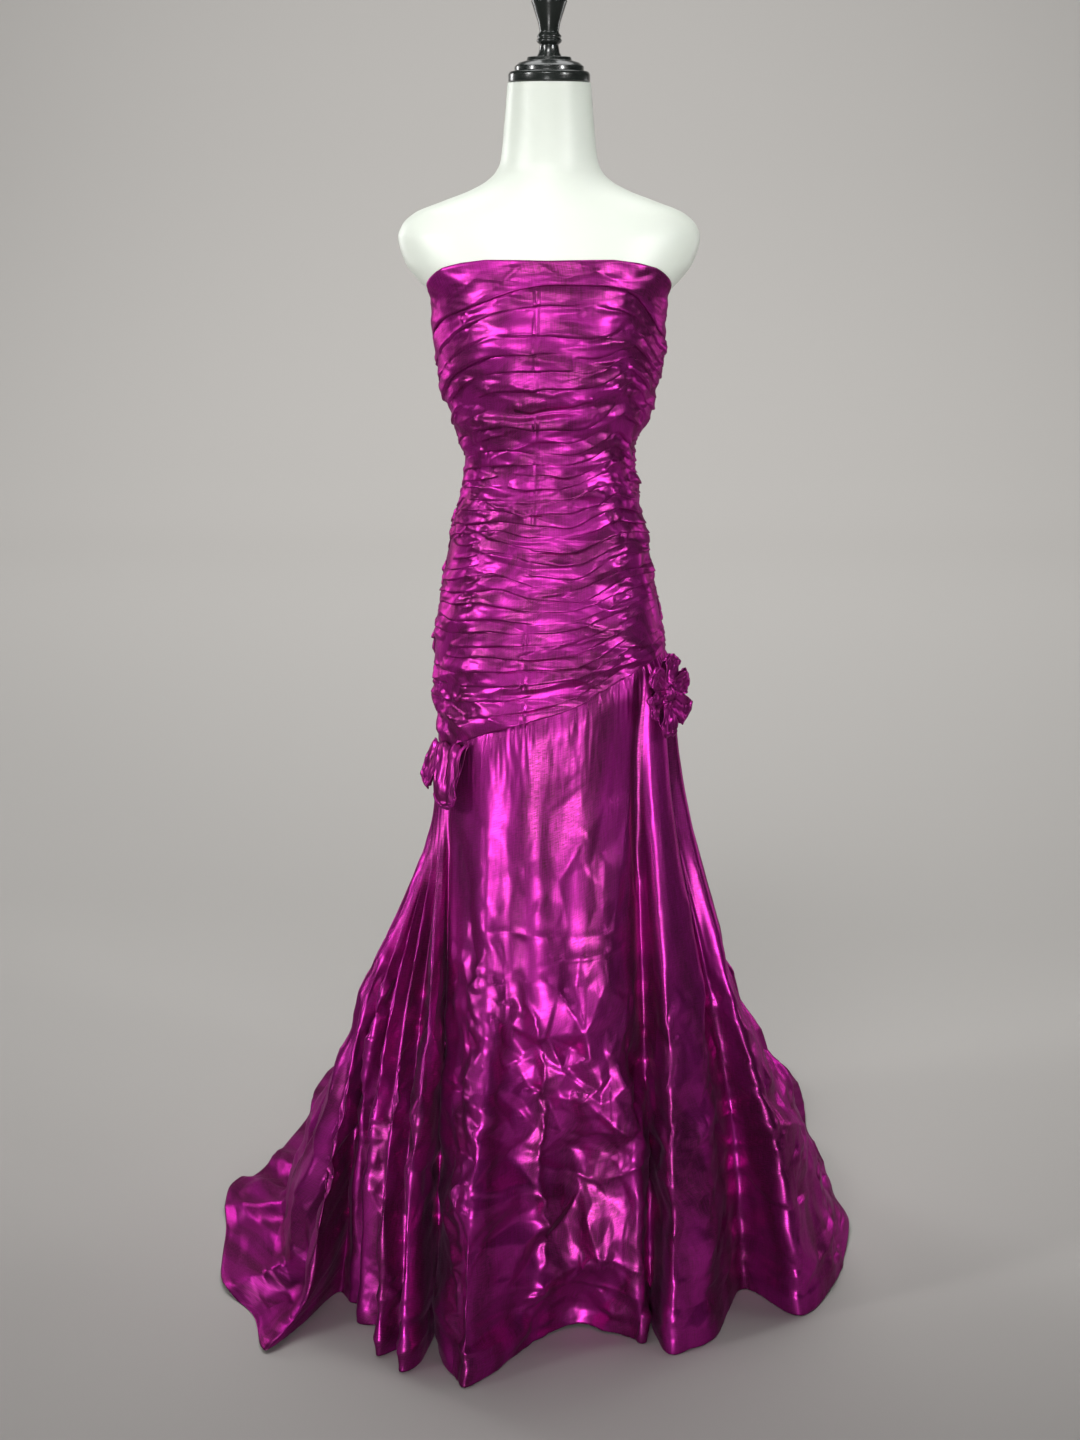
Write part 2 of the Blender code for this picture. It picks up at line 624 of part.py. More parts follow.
def add_loop(loop):
    centre, outwards, along, across = loop_frame(loop)
    stations = 13
    s = np.linspace(0, 1, stations)
    reach = loop.root + loop.length * (1 - np.cos(2 * np.pi * s)) / 2
    rise = loop.gap * (s + 0.16 * np.sin(4 * np.pi * (s - 0.5)) * np.sin(np.pi * s))
    rise = rise + loop.tilt * (reach - loop.root)
    half = loop.width * (0.42 + 0.58 * np.sin(np.pi * s)) / 2
    line = np.stack([reach, rise], axis=1)
    run = np.gradient(line, axis=0)
    run /= np.linalg.norm(run, axis=1, keepdims=True)
    side = np.stack([-run[:, 1], run[:, 0]], axis=1) * LOOP_WALL / 2
    points = []
    for k in range(stations):
        for sign, edge in ((1, -1), (1, 1), (-1, 1), (-1, -1)):
            spot = line[k] + sign * side[k]
            points.append(centre + spot[0] * along + spot[1] * outwards + edge * half[k] * across)
    faces = [(0, 1, 2, 3)]
    for k in range(stations - 1):
        for c in range(4):
            near = (c + 1) % 4
            faces.append((4 * k + near, 4 * k + c, 4 * k + 4 + c, 4 * k + 4 + near))
    end = 4 * (stations - 1)
    faces.append((end + 3, end + 2, end + 1, end))
    add_object(loop.name, points, faces, SATIN)


def add_knot():
    rosette = LOOPS[0]
    centre, outwards, *_ = loop_frame(rosette)
    middle = (centre + outwards * rosette.gap / 2) / 1000
    bpy.ops.mesh.primitive_uv_sphere_add(segments=12, ring_count=8, radius=KNOT_RADIUS / 1000, location=middle)
    knot = bpy.context.object
    knot.name = knot.data.name = "rosette_knot"
    for holder in knot.users_collection:
        holder.objects.unlink(knot)
    collection.objects.link(knot)
    knot.data.materials.append(material(SATIN))


clear_scene()
collection = bpy.data.collections.new(OBJECT)
bpy.context.scene.collection.children.link(collection)

add_form()
add_stand()
add_band("top_band_front", -90, 90, 180 / FORM_COLUMNS)
add_band("top_band_back_left", 90, 180, 360 / FORM_COLUMNS)
add_band("top_band_back_right", -180, -90, 360 / FORM_COLUMNS)
add_bodice("bodice_front_right", -90, 0, front_crease, len(FRONT_TUCKS))
add_bodice("bodice_front_left", 0, 90, front_crease, len(FRONT_TUCKS))
add_bodice("bodice_back_left", 90, 180, back_crease, BACK_TUCKS)
add_bodice("bodice_back_right", -180, -90, back_crease, BACK_TUCKS)
add_skirt()
for loop in LOOPS:
    add_loop(loop)
add_knot()
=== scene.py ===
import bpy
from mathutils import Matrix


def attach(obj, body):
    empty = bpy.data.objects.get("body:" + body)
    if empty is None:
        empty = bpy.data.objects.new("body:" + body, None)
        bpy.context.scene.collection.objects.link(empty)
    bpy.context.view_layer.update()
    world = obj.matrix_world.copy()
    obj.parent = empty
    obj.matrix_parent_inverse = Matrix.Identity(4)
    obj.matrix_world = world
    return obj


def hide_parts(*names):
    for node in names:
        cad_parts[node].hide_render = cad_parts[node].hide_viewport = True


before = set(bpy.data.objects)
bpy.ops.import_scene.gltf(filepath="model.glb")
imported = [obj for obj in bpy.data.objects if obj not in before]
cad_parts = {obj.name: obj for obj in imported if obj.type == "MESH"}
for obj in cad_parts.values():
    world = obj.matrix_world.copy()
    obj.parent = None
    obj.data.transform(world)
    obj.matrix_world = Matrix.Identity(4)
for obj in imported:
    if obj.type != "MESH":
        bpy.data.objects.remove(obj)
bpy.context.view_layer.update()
print("frame loaded")

import math

import bmesh
import bpy
import numpy as np
from mathutils import Vector
from mathutils.geometry import delaunay_2d_cdt

# Shapes are worked out in millimetres and put into the meshes in metres.
# Angles go round the form in degrees: 0 front, 90 the wearer's left, 180 back.
metresPerMm = 0.001


def smoothCurve(xs, ys, x):
    # a cubic through the points that never overshoots them
    xs = np.asarray(xs, float)
    ys = np.asarray(ys, float)
    step = np.diff(xs)
    slope = np.diff(ys) / step
    before, after = slope[:-1], slope[1:]
    total = np.where(before + after == 0, 1, before + after)
    middle = np.where(before * after > 0, 2 * before * after / total, 0)
    tangent = np.concatenate([slope[:1], middle, slope[-1:]])
    at = np.clip(np.searchsorted(xs, x, "right") - 1, 0, len(step) - 1)
    u = np.clip((x - xs[at]) / step[at], 0, 1)
    rise = ys[at + 1] - ys[at]
    start, end = tangent[at] * step[at], tangent[at + 1] * step[at]
    return ys[at] + u * (start + u * (3 * rise - 2 * start - end + u * (start + end - 2 * rise)))


def alike(*values):
    return np.broadcast_arrays(*(np.asarray(value, float) for value in values))


def cellsAt(x, y):
    # the square of a lattice that each point is in, and where it lies in it
    x, y = alike(x, y)
    column, row = np.floor(x).astype(np.int64), np.floor(y).astype(np.int64)
    return column, row, x - column, y - row


def latticeValue(column, row, seed):
    # the same number from 0 to 1 every time for a point of a square lattice
    mixed = (column * 374761393 + row * 668265263 + seed * 97463477) & 0xFFFFFFFF
    mixed = ((mixed ^ (mixed >> 13)) * 1274126177) & 0xFFFFFFFF
    return ((mixed ^ (mixed >> 16)) & 0xFFFFFF) / 0xFFFFFF


def easeInOut(t):
    return t * t * t * (t * (t * 6 - 15) + 10)


def softNoise(x, y, seed):
    # rolling noise, about -1 to 1, one swell for each unit
    column, row, u, v = cellsAt(x, y)
    total = np.zeros(u.shape)
    for i in (0, 1):
        for j in (0, 1):
            turn = 2 * np.pi * latticeValue(column + i, row + j, seed)
            slope = np.cos(turn) * (u - i) + np.sin(turn) * (v - j)
            total += easeInOut(1 - np.abs(u - i)) * easeInOut(1 - np.abs(v - j)) * slope
    return 1.5 * total


def ridges(x, y, seed):
    # sharp crests with soft hollows between them, 0 to 1
    return 1 - np.minimum(1, 2.2 * np.abs(softNoise(x, y, seed)))


def facets(x, y, seed):
    # crumpled cloth: nearly flat triangles that meet in straight sharp ridges, -1 to 1
    bentX = x + 0.5 * softNoise(x * 0.7, y * 0.7, seed + 11)
    bentY = y + 0.5 * softNoise(x * 0.7, y * 0.7, seed + 12)
    column, row, u, v = cellsAt(bentX - 0.577 * bentY, 1.155 * bentY)
    corners = ((0, 0), (1, 0), (0, 1), (1, 1))
    near, right, up, far = (latticeValue(column + i, row + j, seed) for i, j in corners)
    under = near + u * (right - near) + v * (up - near)
    over = far + (1 - u) * (up - far) + (1 - v) * (right - far)
    return 2 * np.where(u + v < 1, under, over) - 1


def crumple(x, y, seed):
    # crushed cloth: shallow bowls that meet in sharp, nearly straight ridges, about -1 to 1
    bentX = x + 0.35 * softNoise(x * 0.8, y * 0.8, seed + 3)
    bentY = y + 0.35 * softNoise(x * 0.8, y * 0.8, seed + 4)
    column, row, u, v = cellsAt(bentX, bentY)
    lowest = np.full(u.shape, 9.0)
    for i in range(-2, 3):
        for j in range(-2, 3):
            atU, atV, lift = (latticeValue(column + i, row + j, seed + k) for k in range(3))
            lowest = np.minimum(lowest, (u - i - atU) ** 2 + (v - j - atV) ** 2 + 0.5 * lift)
    return 2 * lowest**0.75 - 1


def crushedFacets(xs, ys, wide, tall, seed):
    # flat triangles between scattered points, as in cloth that has been crushed, -1 to 1,
    # for every crossing of the columns xs and the rows ys
    column, row = np.meshgrid(
        np.arange(math.floor(xs[0] / wide) - 3, math.ceil(xs[-1] / wide) + 4),
        np.arange(math.floor(ys[0] / tall) - 3, math.ceil(ys[-1] / tall) + 4),
    )
    across = ((column + 0.96 * (latticeValue(column, row, seed) - 0.5)) * wide).ravel()
    down = ((row + 0.96 * (latticeValue(column, row, seed + 1) - 0.5)) * tall).ravel()
    level = (2 * latticeValue(column, row, seed + 2) - 1).ravel()
    # the points are joined up in a plane where the cells are square
    flat = [Vector((a / wide, b / tall)) for a, b in zip(across, down)]
    found = delaunay_2d_cdt(flat, [], [], 0, 0.0001)
    total = np.zeros((len(ys), len(xs)))
    for corners in found[2]:
        i, j, k = (found[3][corner][0] for corner in corners)
        left, right = np.searchsorted(xs, (min(across[[i, j, k]]), max(across[[i, j, k]])))
        top, bottom = np.searchsorted(ys, (min(down[[i, j, k]]), max(down[[i, j, k]])))
        if left == right or top == bottom:
            continue
        x, y = xs[None, left:right], ys[top:bottom, None]
        area = (down[j] - down[k]) * (across[i] - across[k]) + (across[k] - across[j]) * (down[i] - down[k])
        first = ((down[j] - down[k]) * (x - across[k]) + (across[k] - across[j]) * (y - down[k])) / area
        second = ((down[k] - down[i]) * (x - across[k]) + (across[i] - across[k]) * (y - down[k])) / area
        third = 1 - first - second
        inside = (first >= -1e-9) & (second >= -1e-9) & (third >= -1e-9)
        value = first * level[i] + second * level[j] + third * level[k]
        total[top:bottom, left:right] = np.where(inside, value, total[top:bottom, left:right])
    return total


def slantedFacets(across, down, layers, seed):
    # layers of the same, for columns whose points lie at any way down, drawn out on slants
    total = np.zeros(down.shape)
    for high, wide, tall, slant, number in layers:
        moved = down + slant * across[None, :]
        levels = np.arange(moved.min() - 1, moved.max() + 2)
        field = crushedFacets(across, levels, wide, tall, seed + number)
        drawn = [np.interp(moved[:, i], levels, field[:, i]) for i in range(len(across))]
        total += high * np.stack(drawn, axis=1)
    return total


def hump(x, centre, width):
    return np.exp(-(((x - centre) / width) ** 2))


def fade(x, start, end):
    # 0 before start, 1 after end
    return easeInOut(np.clip((x - start) / (end - start), 0, 1))


def pressedLines(x, z, lines, jagged=0):
    # creases from one point to another: a sharp crest that tapers away at both ends
    total = np.zeros(x.shape)
    for x1, z1, x2, z2, height, width in lines:
        runX, runZ = x2 - x1, z2 - z1
        long = math.hypot(runX, runZ)
        along = np.clip(((x - x1) * runX + (z - z1) * runZ) / long**2, 0, 1)
        kink = jagged * facets(along * long / 15, x1 + 0 * along, 41)
        awayX = x - x1 - along * runX + kink * runZ / long
        awayZ = z - z1 - along * runZ - kink * runX / long
        taper = np.sin(np.pi * np.clip(along, 0.04, 0.96)) ** 0.6
        total += height * np.exp(-np.hypot(awayX, awayZ) / width) * taper
    return total


formShape = {
    "sections": (  # height, half width, front, back
        (720, 132, 98, 102), (780, 138, 103, 112), (862, 142, 104, 117), (901, 139, 102, 114),
        (952, 130, 98, 107), (989, 124, 96, 101), (1027, 116, 92, 94), (1052, 110, 89, 89),
        (1077, 105, 87, 84), (1108, 102.5, 86, 81), (1139, 110, 90, 85), (1176, 125, 97, 92),
        (1212, 135, 103, 97), (1249, 138, 105, 99), (1273, 138.5, 105, 99), (1300, 140.5, 102, 98),
        (1309, 147, 100, 97), (1321, 159, 98, 96), (1345, 176, 93, 93), (1373, 183, 85, 88),
        (1387, 178, 80, 85), (1401, 163, 75, 81), (1416, 126, 70, 77), (1427, 97, 67, 73),
        (1439, 75, 63, 69), (1450, 64, 58, 63), (1463, 58.5, 55, 59), (1510, 53.5, 52, 54),
        (1553, 50, 50, 50),
    ),
    "bustSide": 66,
    "bustHeight": 1236,
    "bustFullness": 19,
    "bustSpread": 52,
    "bridged": 22,  # the cloth spans the middle in a curve this wide
    "columns": 144,
    "rows": 190,
    "shoulderRows": (1370, 1460, 70),  # from, to and how many more, where it turns sharply
    "squareness": 0.1,  # how much fuller than an oval, below the neck
}


def onForm(angle, height):
    angle, height = alike(angle, height)
    heights, halfWidths, fronts, backs = zip(*formShape["sections"])
    halfWidth, front, back = (smoothCurve(heights, row, height) for row in (halfWidths, fronts, backs))
    squareness = 1 - formShape["squareness"] * np.clip((1440 - height) / 40, 0, 1)
    sine, cosine = np.sin(np.radians(angle)), np.cos(np.radians(angle))
    x = halfWidth * np.sign(sine) * np.abs(sine) ** squareness
    y = -np.where(cosine > 0, front, back) * np.sign(cosine) * np.abs(cosine) ** squareness
    side = np.hypot(x, formShape["bridged"]) - formShape["bustSide"]
    near = np.exp(-(side**2 + (height - formShape["bustHeight"]) ** 2) / (2 * formShape["bustSpread"] ** 2))
    return x, y - np.where(cosine > 0, formShape["bustFullness"] * near * cosine, 0)


def offForm(angle, height, out):
    # points that stand out from the form, measured level
    angle, height = alike(angle, height)
    x, y = onForm(angle, height)
    alongX, alongY = np.subtract(onForm(angle + 0.5, height), onForm(angle - 0.5, height))
    length = np.hypot(alongX, alongY)
    return np.stack([x + out * alongY / length, y - out * alongX / length, height], axis=-1)


# where the gown's pieces meet: angle, height
seams = {
    "topEdge": ((0, 1347), (20, 1348), (40, 1341), (60, 1324), (90, 1297), (125, 1275), (180, 1262)),
    "bandEdge": (
        (-180, 1222), (-135, 1230), (-90, 1250), (-72, 1270), (-50, 1285), (-31, 1298), (-15, 1311),
        (0, 1319), (19, 1318), (36, 1311), (50, 1296), (66, 1265), (90, 1246), (135, 1228), (180, 1222),
    ),
    "hipSeam": (
        (-180, 800), (-135, 776), (-100, 754), (-75, 749), (-57, 756), (-33, 775), (-15, 789), (0, 801),
        (10, 811), (22, 828), (35, 843), (50, 856), (64, 864), (90, 868), (120, 855), (150, 830), (180, 800),
    ),
    "columnStep": 11.25,  # the seams bend at these steps and run straight between
}


def edgeHeight(name, angle):
    angles, heights = zip(*seams[name])
    at = np.arange(-180, 181, seams["columnStep"])
    mirrored = np.abs(at) if name == "topEdge" else at
    return np.interp(angle, at, smoothCurve(angles, heights, mirrored))


def linearColour(hexColour):
    channels = [int(hexColour[i:i + 2], 16) / 255 for i in (1, 3, 5)]
    return tuple(c / 12.92 if c <= 0.04045 else ((c + 0.055) / 1.055) ** 2.4 for c in channels) + (1.0,)


def setInputs(tree, node, inputs):
    for socket, value in inputs.items():
        if isinstance(value, bpy.types.NodeSocket):
            tree.links.new(value, node.inputs[socket])
        else:
            node.inputs[socket].default_value = value


def addNode(tree, kind, inputs, **settings):
    node = tree.nodes.new(kind)
    for name, value in settings.items():
        setattr(node, name, value)
    setInputs(tree, node, inputs)
    return node


def addNoise(tree, place, scale, detail):
    inputs = {"Vector": place, "Scale": scale, "Detail": detail}
    return addNode(tree, "ShaderNodeTexNoise", inputs).outputs["Fac"]


def addRange(tree, value, fromRange, toRange):
    (fromMin, fromMax), (toMin, toMax) = fromRange, toRange
    inputs = {"Value": value, "From Min": fromMin, "From Max": fromMax, "To Min": toMin, "To Max": toMax}
    return addNode(tree, "ShaderNodeMapRange", inputs).outputs["Result"]


def addMix(tree, factor, colours):
    first, second = (linearColour(colour) for colour in colours)
    inputs = {"Factor": factor, "A": first, "B": second}
    return addNode(tree, "ShaderNodeMix", inputs, data_type="RGBA").outputs["Result"]


def addBump(tree, height, strength, distance):
    inputs = {"Height": height, "Strength": strength, "Distance": distance}
    return addNode(tree, "ShaderNodeBump", inputs).outputs["Normal"]


def newMaterial(name, places="ShaderNodeTexCoord", output="Object", **settings):
    material = bpy.data.materials.new(name)
    material.use_nodes = True
    tree = material.node_tree
    place = addNode(tree, places, {}, **settings).outputs[output]
    return material, tree, tree.nodes["Principled BSDF"], place


# Shot satin taffeta: filament polyester, magenta warp over a plum weft, calendered.
# The long floats of the warp give bright magenta gloss, the weft a duller plum between them.
satinFinish = {
    "warp": "#B02A93",
    "weft": "#5E2444",
    "sheen": "#C79AC0",
    "edge": "#B868A4",
    "metallic": 0.85,
    "roughness": (0.33, 0.44),
    "slub": (0.009, 0.0012),  # metres along and across. The real yarn is 0.1 mm, drawn 1.2 mm to show
    "floats": (0.0012, 0.0225),
    "weftShare": (0.1, 0.65),
    "paintedShadeShare": (-0.2, 0.33),  # painted shade: in random patches, more of the plum weft is painted in, for the duller tone between highlights
    "tuckedShadePatches": (0.1, 0.03),  # size of the patches of painted shade, metres across and down
    "hungShadePatches": (0.05, 0.26),
    "bump": 0.00007,
}


def makeSatin(name, shadePatches):
    material, tree, surface, flat = newMaterial(name, "ShaderNodeUVMap", "UV", uv_map="cloth")
    noises = []
    for (across, down), detail in ((satinFinish["slub"], 2.0), (satinFinish["floats"], 2.0), (shadePatches, 1.5)):
        size = (1 / across, 1 / down, 1)
        place = addNode(tree, "ShaderNodeMapping", {"Vector": flat, "Scale": size})
        noises.append(addNoise(tree, place.outputs["Vector"], 1.0, detail))
    slub, floats, paintedShade = noises
    weave = addNode(tree, "ShaderNodeMath", {0: slub, 1: floats}, operation="ADD").outputs["Value"]
    threads = addRange(tree, weave, (0.75, 1.25), satinFinish["weftShare"])
    # painted shade: random patches where more of the plum weft is mixed into the colour, for the duller tone
    # between highlights
    addedShade = addRange(tree, paintedShade, (0.4, 0.6), satinFinish["paintedShadeShare"])
    weft = addNode(tree, "ShaderNodeMath", {0: threads, 1: addedShade}, operation="ADD", use_clamp=True)
    setInputs(tree, surface, {
        "Base Color": addMix(tree, weft.outputs["Value"], (satinFinish["warp"], satinFinish["weft"])),
        "Roughness": addRange(tree, slub, (0.3, 0.7), satinFinish["roughness"]),
        "Normal": addBump(tree, weave, 0.5, satinFinish["bump"]),
        "Metallic": satinFinish["metallic"],
        "Specular Tint": linearColour(satinFinish["edge"]),
        "Sheen Weight": 0.06,
        "Sheen Roughness": 0.4,
        "Sheen Tint": linearColour(satinFinish["sheen"]),
    })
    return material


# Moulded polystyrene form under a coat of matte white paint: nearly smooth, with a faint orange peel.
formFinish = {
    "colours": ("#E2E8DE", "#DAE0D5"),
    "clouds": (9.0, 3.0),  # scale and detail
    "relief": ("ShaderNodeTexNoise", {"Scale": 1 / 0.0022, "Detail": 1.0}, {}),
    "bump": (0.35, 0.00008),
    "surface": {"Roughness": 0.42, "Coat Weight": 0.15, "Coat Roughness": 0.35},
}
# Turned beech under black lacquer: a soft gloss with the lathe's faint rings, 1.6 mm apart.
lacquerFinish = {
    "colours": ("#161A18", "#262B28"),
    "clouds": (60.0, 4.0),
    "relief": (  # a wave's bands are 0.314 of a unit apart at scale 1
        "ShaderNodeTexWave", {"Scale": 0.314 / 0.0016, "Distortion": 0.6},
        {"wave_type": "BANDS", "bands_direction": "Z"},
    ),
    "bump": (0.25, 0.00006),
    "surface": {"Roughness": 0.27, "Coat Weight": 0.5, "Coat Roughness": 0.12},
}


def makeCoated(name, finish):
    material, tree, surface, place = newMaterial(name)
    pattern, inputs, settings = finish["relief"]
    relief = addNode(tree, pattern, {"Vector": place, **inputs}, **settings).outputs["Fac"]
    setInputs(tree, surface, {
        "Base Color": addMix(tree, addNoise(tree, place, *finish["clouds"]), finish["colours"]),
        "Normal": addBump(tree, relief, *finish["bump"]),
        **finish["surface"],
    })
    return material


# Steel under black powder coat: even satin black with a fine grain.
steelFinish = {"colour": "#1C1C1D", "grain": 0.0012, "roughness": (0.38, 0.5), "bump": 0.0001}


def makeStandSteel():
    material, tree, surface, place = newMaterial("powderCoatedSteel")
    grain = addNoise(tree, place, 1 / steelFinish["grain"], 1.0)
    setInputs(tree, surface, {
        "Base Color": linearColour(steelFinish["colour"]),
        "Metallic": 0.4,
        "Roughness": addRange(tree, grain, (0, 1), steelFinish["roughness"]),
        "Normal": addBump(tree, grain, 0.4, steelFinish["bump"]),
    })
    return material


satin = makeSatin("shotSatinTaffeta", satinFinish["tuckedShadePatches"])
hungSatin = makeSatin("shotSatinTaffetaHung", satinFinish["hungShadePatches"])
formPaint = makeCoated("paintedFormWhite", formFinish)
lacquer = makeCoated("blackLacqueredBeech", lacquerFinish)
standSteel = makeStandSteel()
print("materials made")


def addObject(name, data):
    added = bpy.data.objects.new(name, data)
    bpy.context.scene.collection.objects.link(added)
    return added


def addMesh(name, bm, material):
    mesh = bpy.data.meshes.new(name)
    bm.to_mesh(mesh)
    bm.free()
    mesh.materials.append(material)
    return addObject(name, mesh)


def placeMesh(name, bm, material, node):
    piece = addMesh(name, bm, material)
    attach(piece, "root")
    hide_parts(node)
    return piece


def runAlong(points, axis):
    # how far along the cloth each point lies
    step = np.diff(points, axis=axis, prepend=points.take([0], axis))
    return np.cumsum(np.linalg.norm(step, axis=2), axis=axis)


def clothPiece(name, points, node, thickness=0, origin=0.5, cloth=satin):
    # a grid of cloth laid over rows of points, from its top row to its bottom row,
    # its pattern measured from a share of the way across
    rows, columns = points.shape[:2]
    bm = bmesh.new()
    bm.loops.layers.uv.new("cloth")
    bmesh.ops.create_grid(bm, x_segments=columns - 1, y_segments=rows - 1, size=0.5)
    piece = placeMesh(name, bm, cloth, node)
    mesh = piece.data
    across, down = runAlong(points, 1), runAlong(points, 0)
    flat = np.stack([across - across[:, -1:] * origin, -down], axis=-1)[::-1].reshape(-1, 2) * metresPerMm
    mesh.vertices.foreach_set("co", (points[::-1] * metresPerMm).astype(np.float32).reshape(-1))
    corner = np.empty(len(mesh.loops), np.int32)
    mesh.loops.foreach_get("vertex_index", corner)
    mesh.uv_layers["cloth"].data.foreach_set("uv", flat[corner].astype(np.float32).reshape(-1))
    mesh.update()
    mesh.shade_smooth()
    if thickness:
        solid = piece.modifiers.new("cloth", "SOLIDIFY")
        solid.thickness = thickness * metresPerMm
        solid.offset = 0
    return piece


def gridNormals(points):
    across = np.gradient(points, axis=1)
    down = np.gradient(points, axis=0)
    normal = np.cross(down, across)
    return normal / np.maximum(np.linalg.norm(normal, axis=2, keepdims=True), 1e-9)


def makeForm():
    angle = np.linspace(-180, 180, formShape["columns"] + 1)
    lowest, highest = (formShape["sections"][end][0] for end in (0, -1))
    height = np.linspace(lowest, highest, formShape["rows"])
    height = np.unique(np.concatenate([height, np.linspace(*formShape["shoulderRows"])]))
    points = offForm(angle[None, :], height[:, None], 0).reshape(-1, 3) * metresPerMm
    bm = bmesh.new()
    # a sheet rolled into a tube that takes the form's sections, and closed at both ends
    bmesh.ops.create_grid(bm, x_segments=formShape["columns"], y_segments=len(height) - 1, size=0.5)
    for vert, point in zip(bm.verts, points):
        vert.co = point
    bmesh.ops.remove_doubles(bm, verts=bm.verts, dist=0.00001)
    bmesh.ops.holes_fill(bm, edges=[e for e in bm.edges if e.is_boundary], sides=0)
    bmesh.ops.triangulate(bm, faces=[f for f in bm.faces if len(f.verts) > 4])
    bmesh.ops.recalc_face_normals(bm, faces=bm.faces)
    piece = placeMesh("formShell", bm, formPaint, "form_torso")
    piece.data.shade_smooth()
    piece.data.set_sharp_from_angle(angle=math.radians(50))


rimRadius = 0.7
turnedShapes = {
    "neckCap": {
        "node": "neck_cap",
        "profile": (  # radius, height
            (0, 1553.3), (47.5, 1553.3), (49, 1555), (49, 1563), (47, 1566), (41.5, 1567), (41.5, 1572),
            (36, 1576.5), (27, 1579), (26, 1583), (0, 1583),
        ),
    },
    "neckFinial": {
        "node": "neck_finial",
        "profile": (
            (0, 1583.3), (15, 1583.3), (12.5, 1588), (11, 1597), (14.5, 1600), (15.3, 1602.3),
            (13.4, 1604.6), (14.8, 1607), (12.6, 1609.6), (11.4, 1612), (13.2, 1622), (17.2, 1634),
            (20.3, 1643.5), (21.6, 1647), (20, 1650), (13, 1652), (16.6, 1657), (19, 1664.5),
            (17.8, 1672), (12.4, 1679), (5, 1683), (0, 1684),
        ),
    },
}


def makeTurned(name, shape):
    bm = bmesh.new()
    line = [bm.verts.new((r * metresPerMm, 0, z * metresPerMm)) for r, z in shape["profile"]]
    edges = [bm.edges.new(pair) for pair in zip(line, line[1:])]
    bmesh.ops.spin(
        bm, geom=line + edges, cent=(0, 0, 0), axis=(0, 0, 1), dvec=(0, 0, 0), angle=math.tau, steps=72,
        use_merge=True,
    )
    bmesh.ops.remove_doubles(bm, verts=bm.verts, dist=0.00002)
    bmesh.ops.recalc_face_normals(bm, faces=bm.faces)
    rims = [e for e in bm.edges if e.is_manifold and e.calc_face_angle() > math.radians(32)]
    bmesh.ops.bevel(
        bm, geom=rims, offset=rimRadius * metresPerMm, affect="EDGES", segments=3, profile=0.5, material=-1,
        clamp_overlap=True,
    )
    piece = placeMesh(name, bm, lacquer, shape["node"])
    piece.data.shade_smooth()
    piece.data.set_sharp_from_angle(angle=math.radians(55))


makeForm()
for name, shape in turnedShapes.items():
    makeTurned(name, shape)
for node in ("stand_pole", "stand_base"):
    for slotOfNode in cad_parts[node].material_slots:
        slotOfNode.material = standSteel
print("form and stand made")


bandShape = {
    "clear": 0.6,  # from the form to the cloth that lies on it
    "thick": 4.0,
    "rows": 34,
    "across": ((0, 0.05), (0.03, 0.6), (0.1, 0.9), (0.45, 1), (0.9, 0.95), (0.97, 0.6), (1, 0.1)),
    "down": ((0, 0.012), (0.03, 0), (0.1, 0.06), (0.5, 0.5), (0.9, 0.94), (0.97, 1.0), (1, 0.985)),
    "slack": 0.7,
    "rolls": 1.1,
    "flats": 0.5,
    "folds": 0.8,
    "creases": (  # x, z, x, z, height, width: where slack cloth is pressed into folds
        (-26, 1350, -62, 1316, 1.5, 2.6), (-62, 1316, -104, 1288, 1.2, 2.4),
        (-14, 1344, 16, 1325, 1.8, 2.2), (16, 1325, 62, 1336, 1.3, 2.2), (30, 1345, 74, 1326, 1.5, 2.4),
        (74, 1326, 118, 1300, 1.1, 2.6), (-84, 1330, -120, 1300, 1.0, 2.0),
        (-70, 1296, -30, 1311, 1.3, 2.2), (20, 1322, 70, 1306, 0.8, 2.0),
    ),
    "pieces": (  # name, node, first angle, last angle, columns, cut width, length and area in metres
        ("bandFront", "top_band_front", -90, 90, 180, 0.450, 0.066, 0.0214),
        ("bandBackLeft", "top_band_back_left", 90, 180, 90, 0.205, 0.058, 0.0099),
        ("bandBackRight", "top_band_back_right", -180, -90, 90, 0.205, 0.058, 0.0097),
    ),
}


def makeBand(name, node, first, last, columns, cutWidth, cutLength, cutArea):
    angle = np.linspace(first, last, columns)[None, :]
    share = np.linspace(0, 1, bandShape["rows"])[:, None]
    upper, lower = edgeHeight("topEdge", angle), edgeHeight("bandEdge", angle)
    # both of its long edges are rolled in towards the form
    rounded = smoothCurve(*zip(*bandShape["across"]), share)
    height = upper + smoothCurve(*zip(*bandShape["down"]), share) * (lower - upper)
    slow = np.sin(np.radians(angle * 5 + share * 260)) + 0.6 * np.sin(np.radians(angle * 11 - share * 190))
    slack = bandShape["slack"] * slow * np.sin(np.pi * share)
    out = bandShape["clear"] + bandShape["thick"] * rounded + slack
    points = offForm(angle, height, out)
    x, z = points[..., 0], points[..., 2]
    inside = np.sin(np.pi * share) ** 0.5
    front = (np.abs(angle) < 88) * inside
    wrinkle = pressedLines(x, z, bandShape["creases"], 1.2) * front
    span = angle * 2.3
    rolls = bandShape["rolls"] * softNoise(span / 34 + z / 40, z / 16 - span / 60, 5)
    wrinkle += (rolls + bandShape["flats"] * facets(span / 17, z / 11, 6)) * inside
    wrinkle += bandShape["folds"] * (ridges(span / 60 + z / 25, z / 13, 8) - 0.5) * inside
    points = offForm(angle, height, np.maximum(out + wrinkle, bandShape["clear"]))
    piece = clothPiece(name, points, node)


for row in bandShape["pieces"]:
    makeBand(*row)
print("band made")


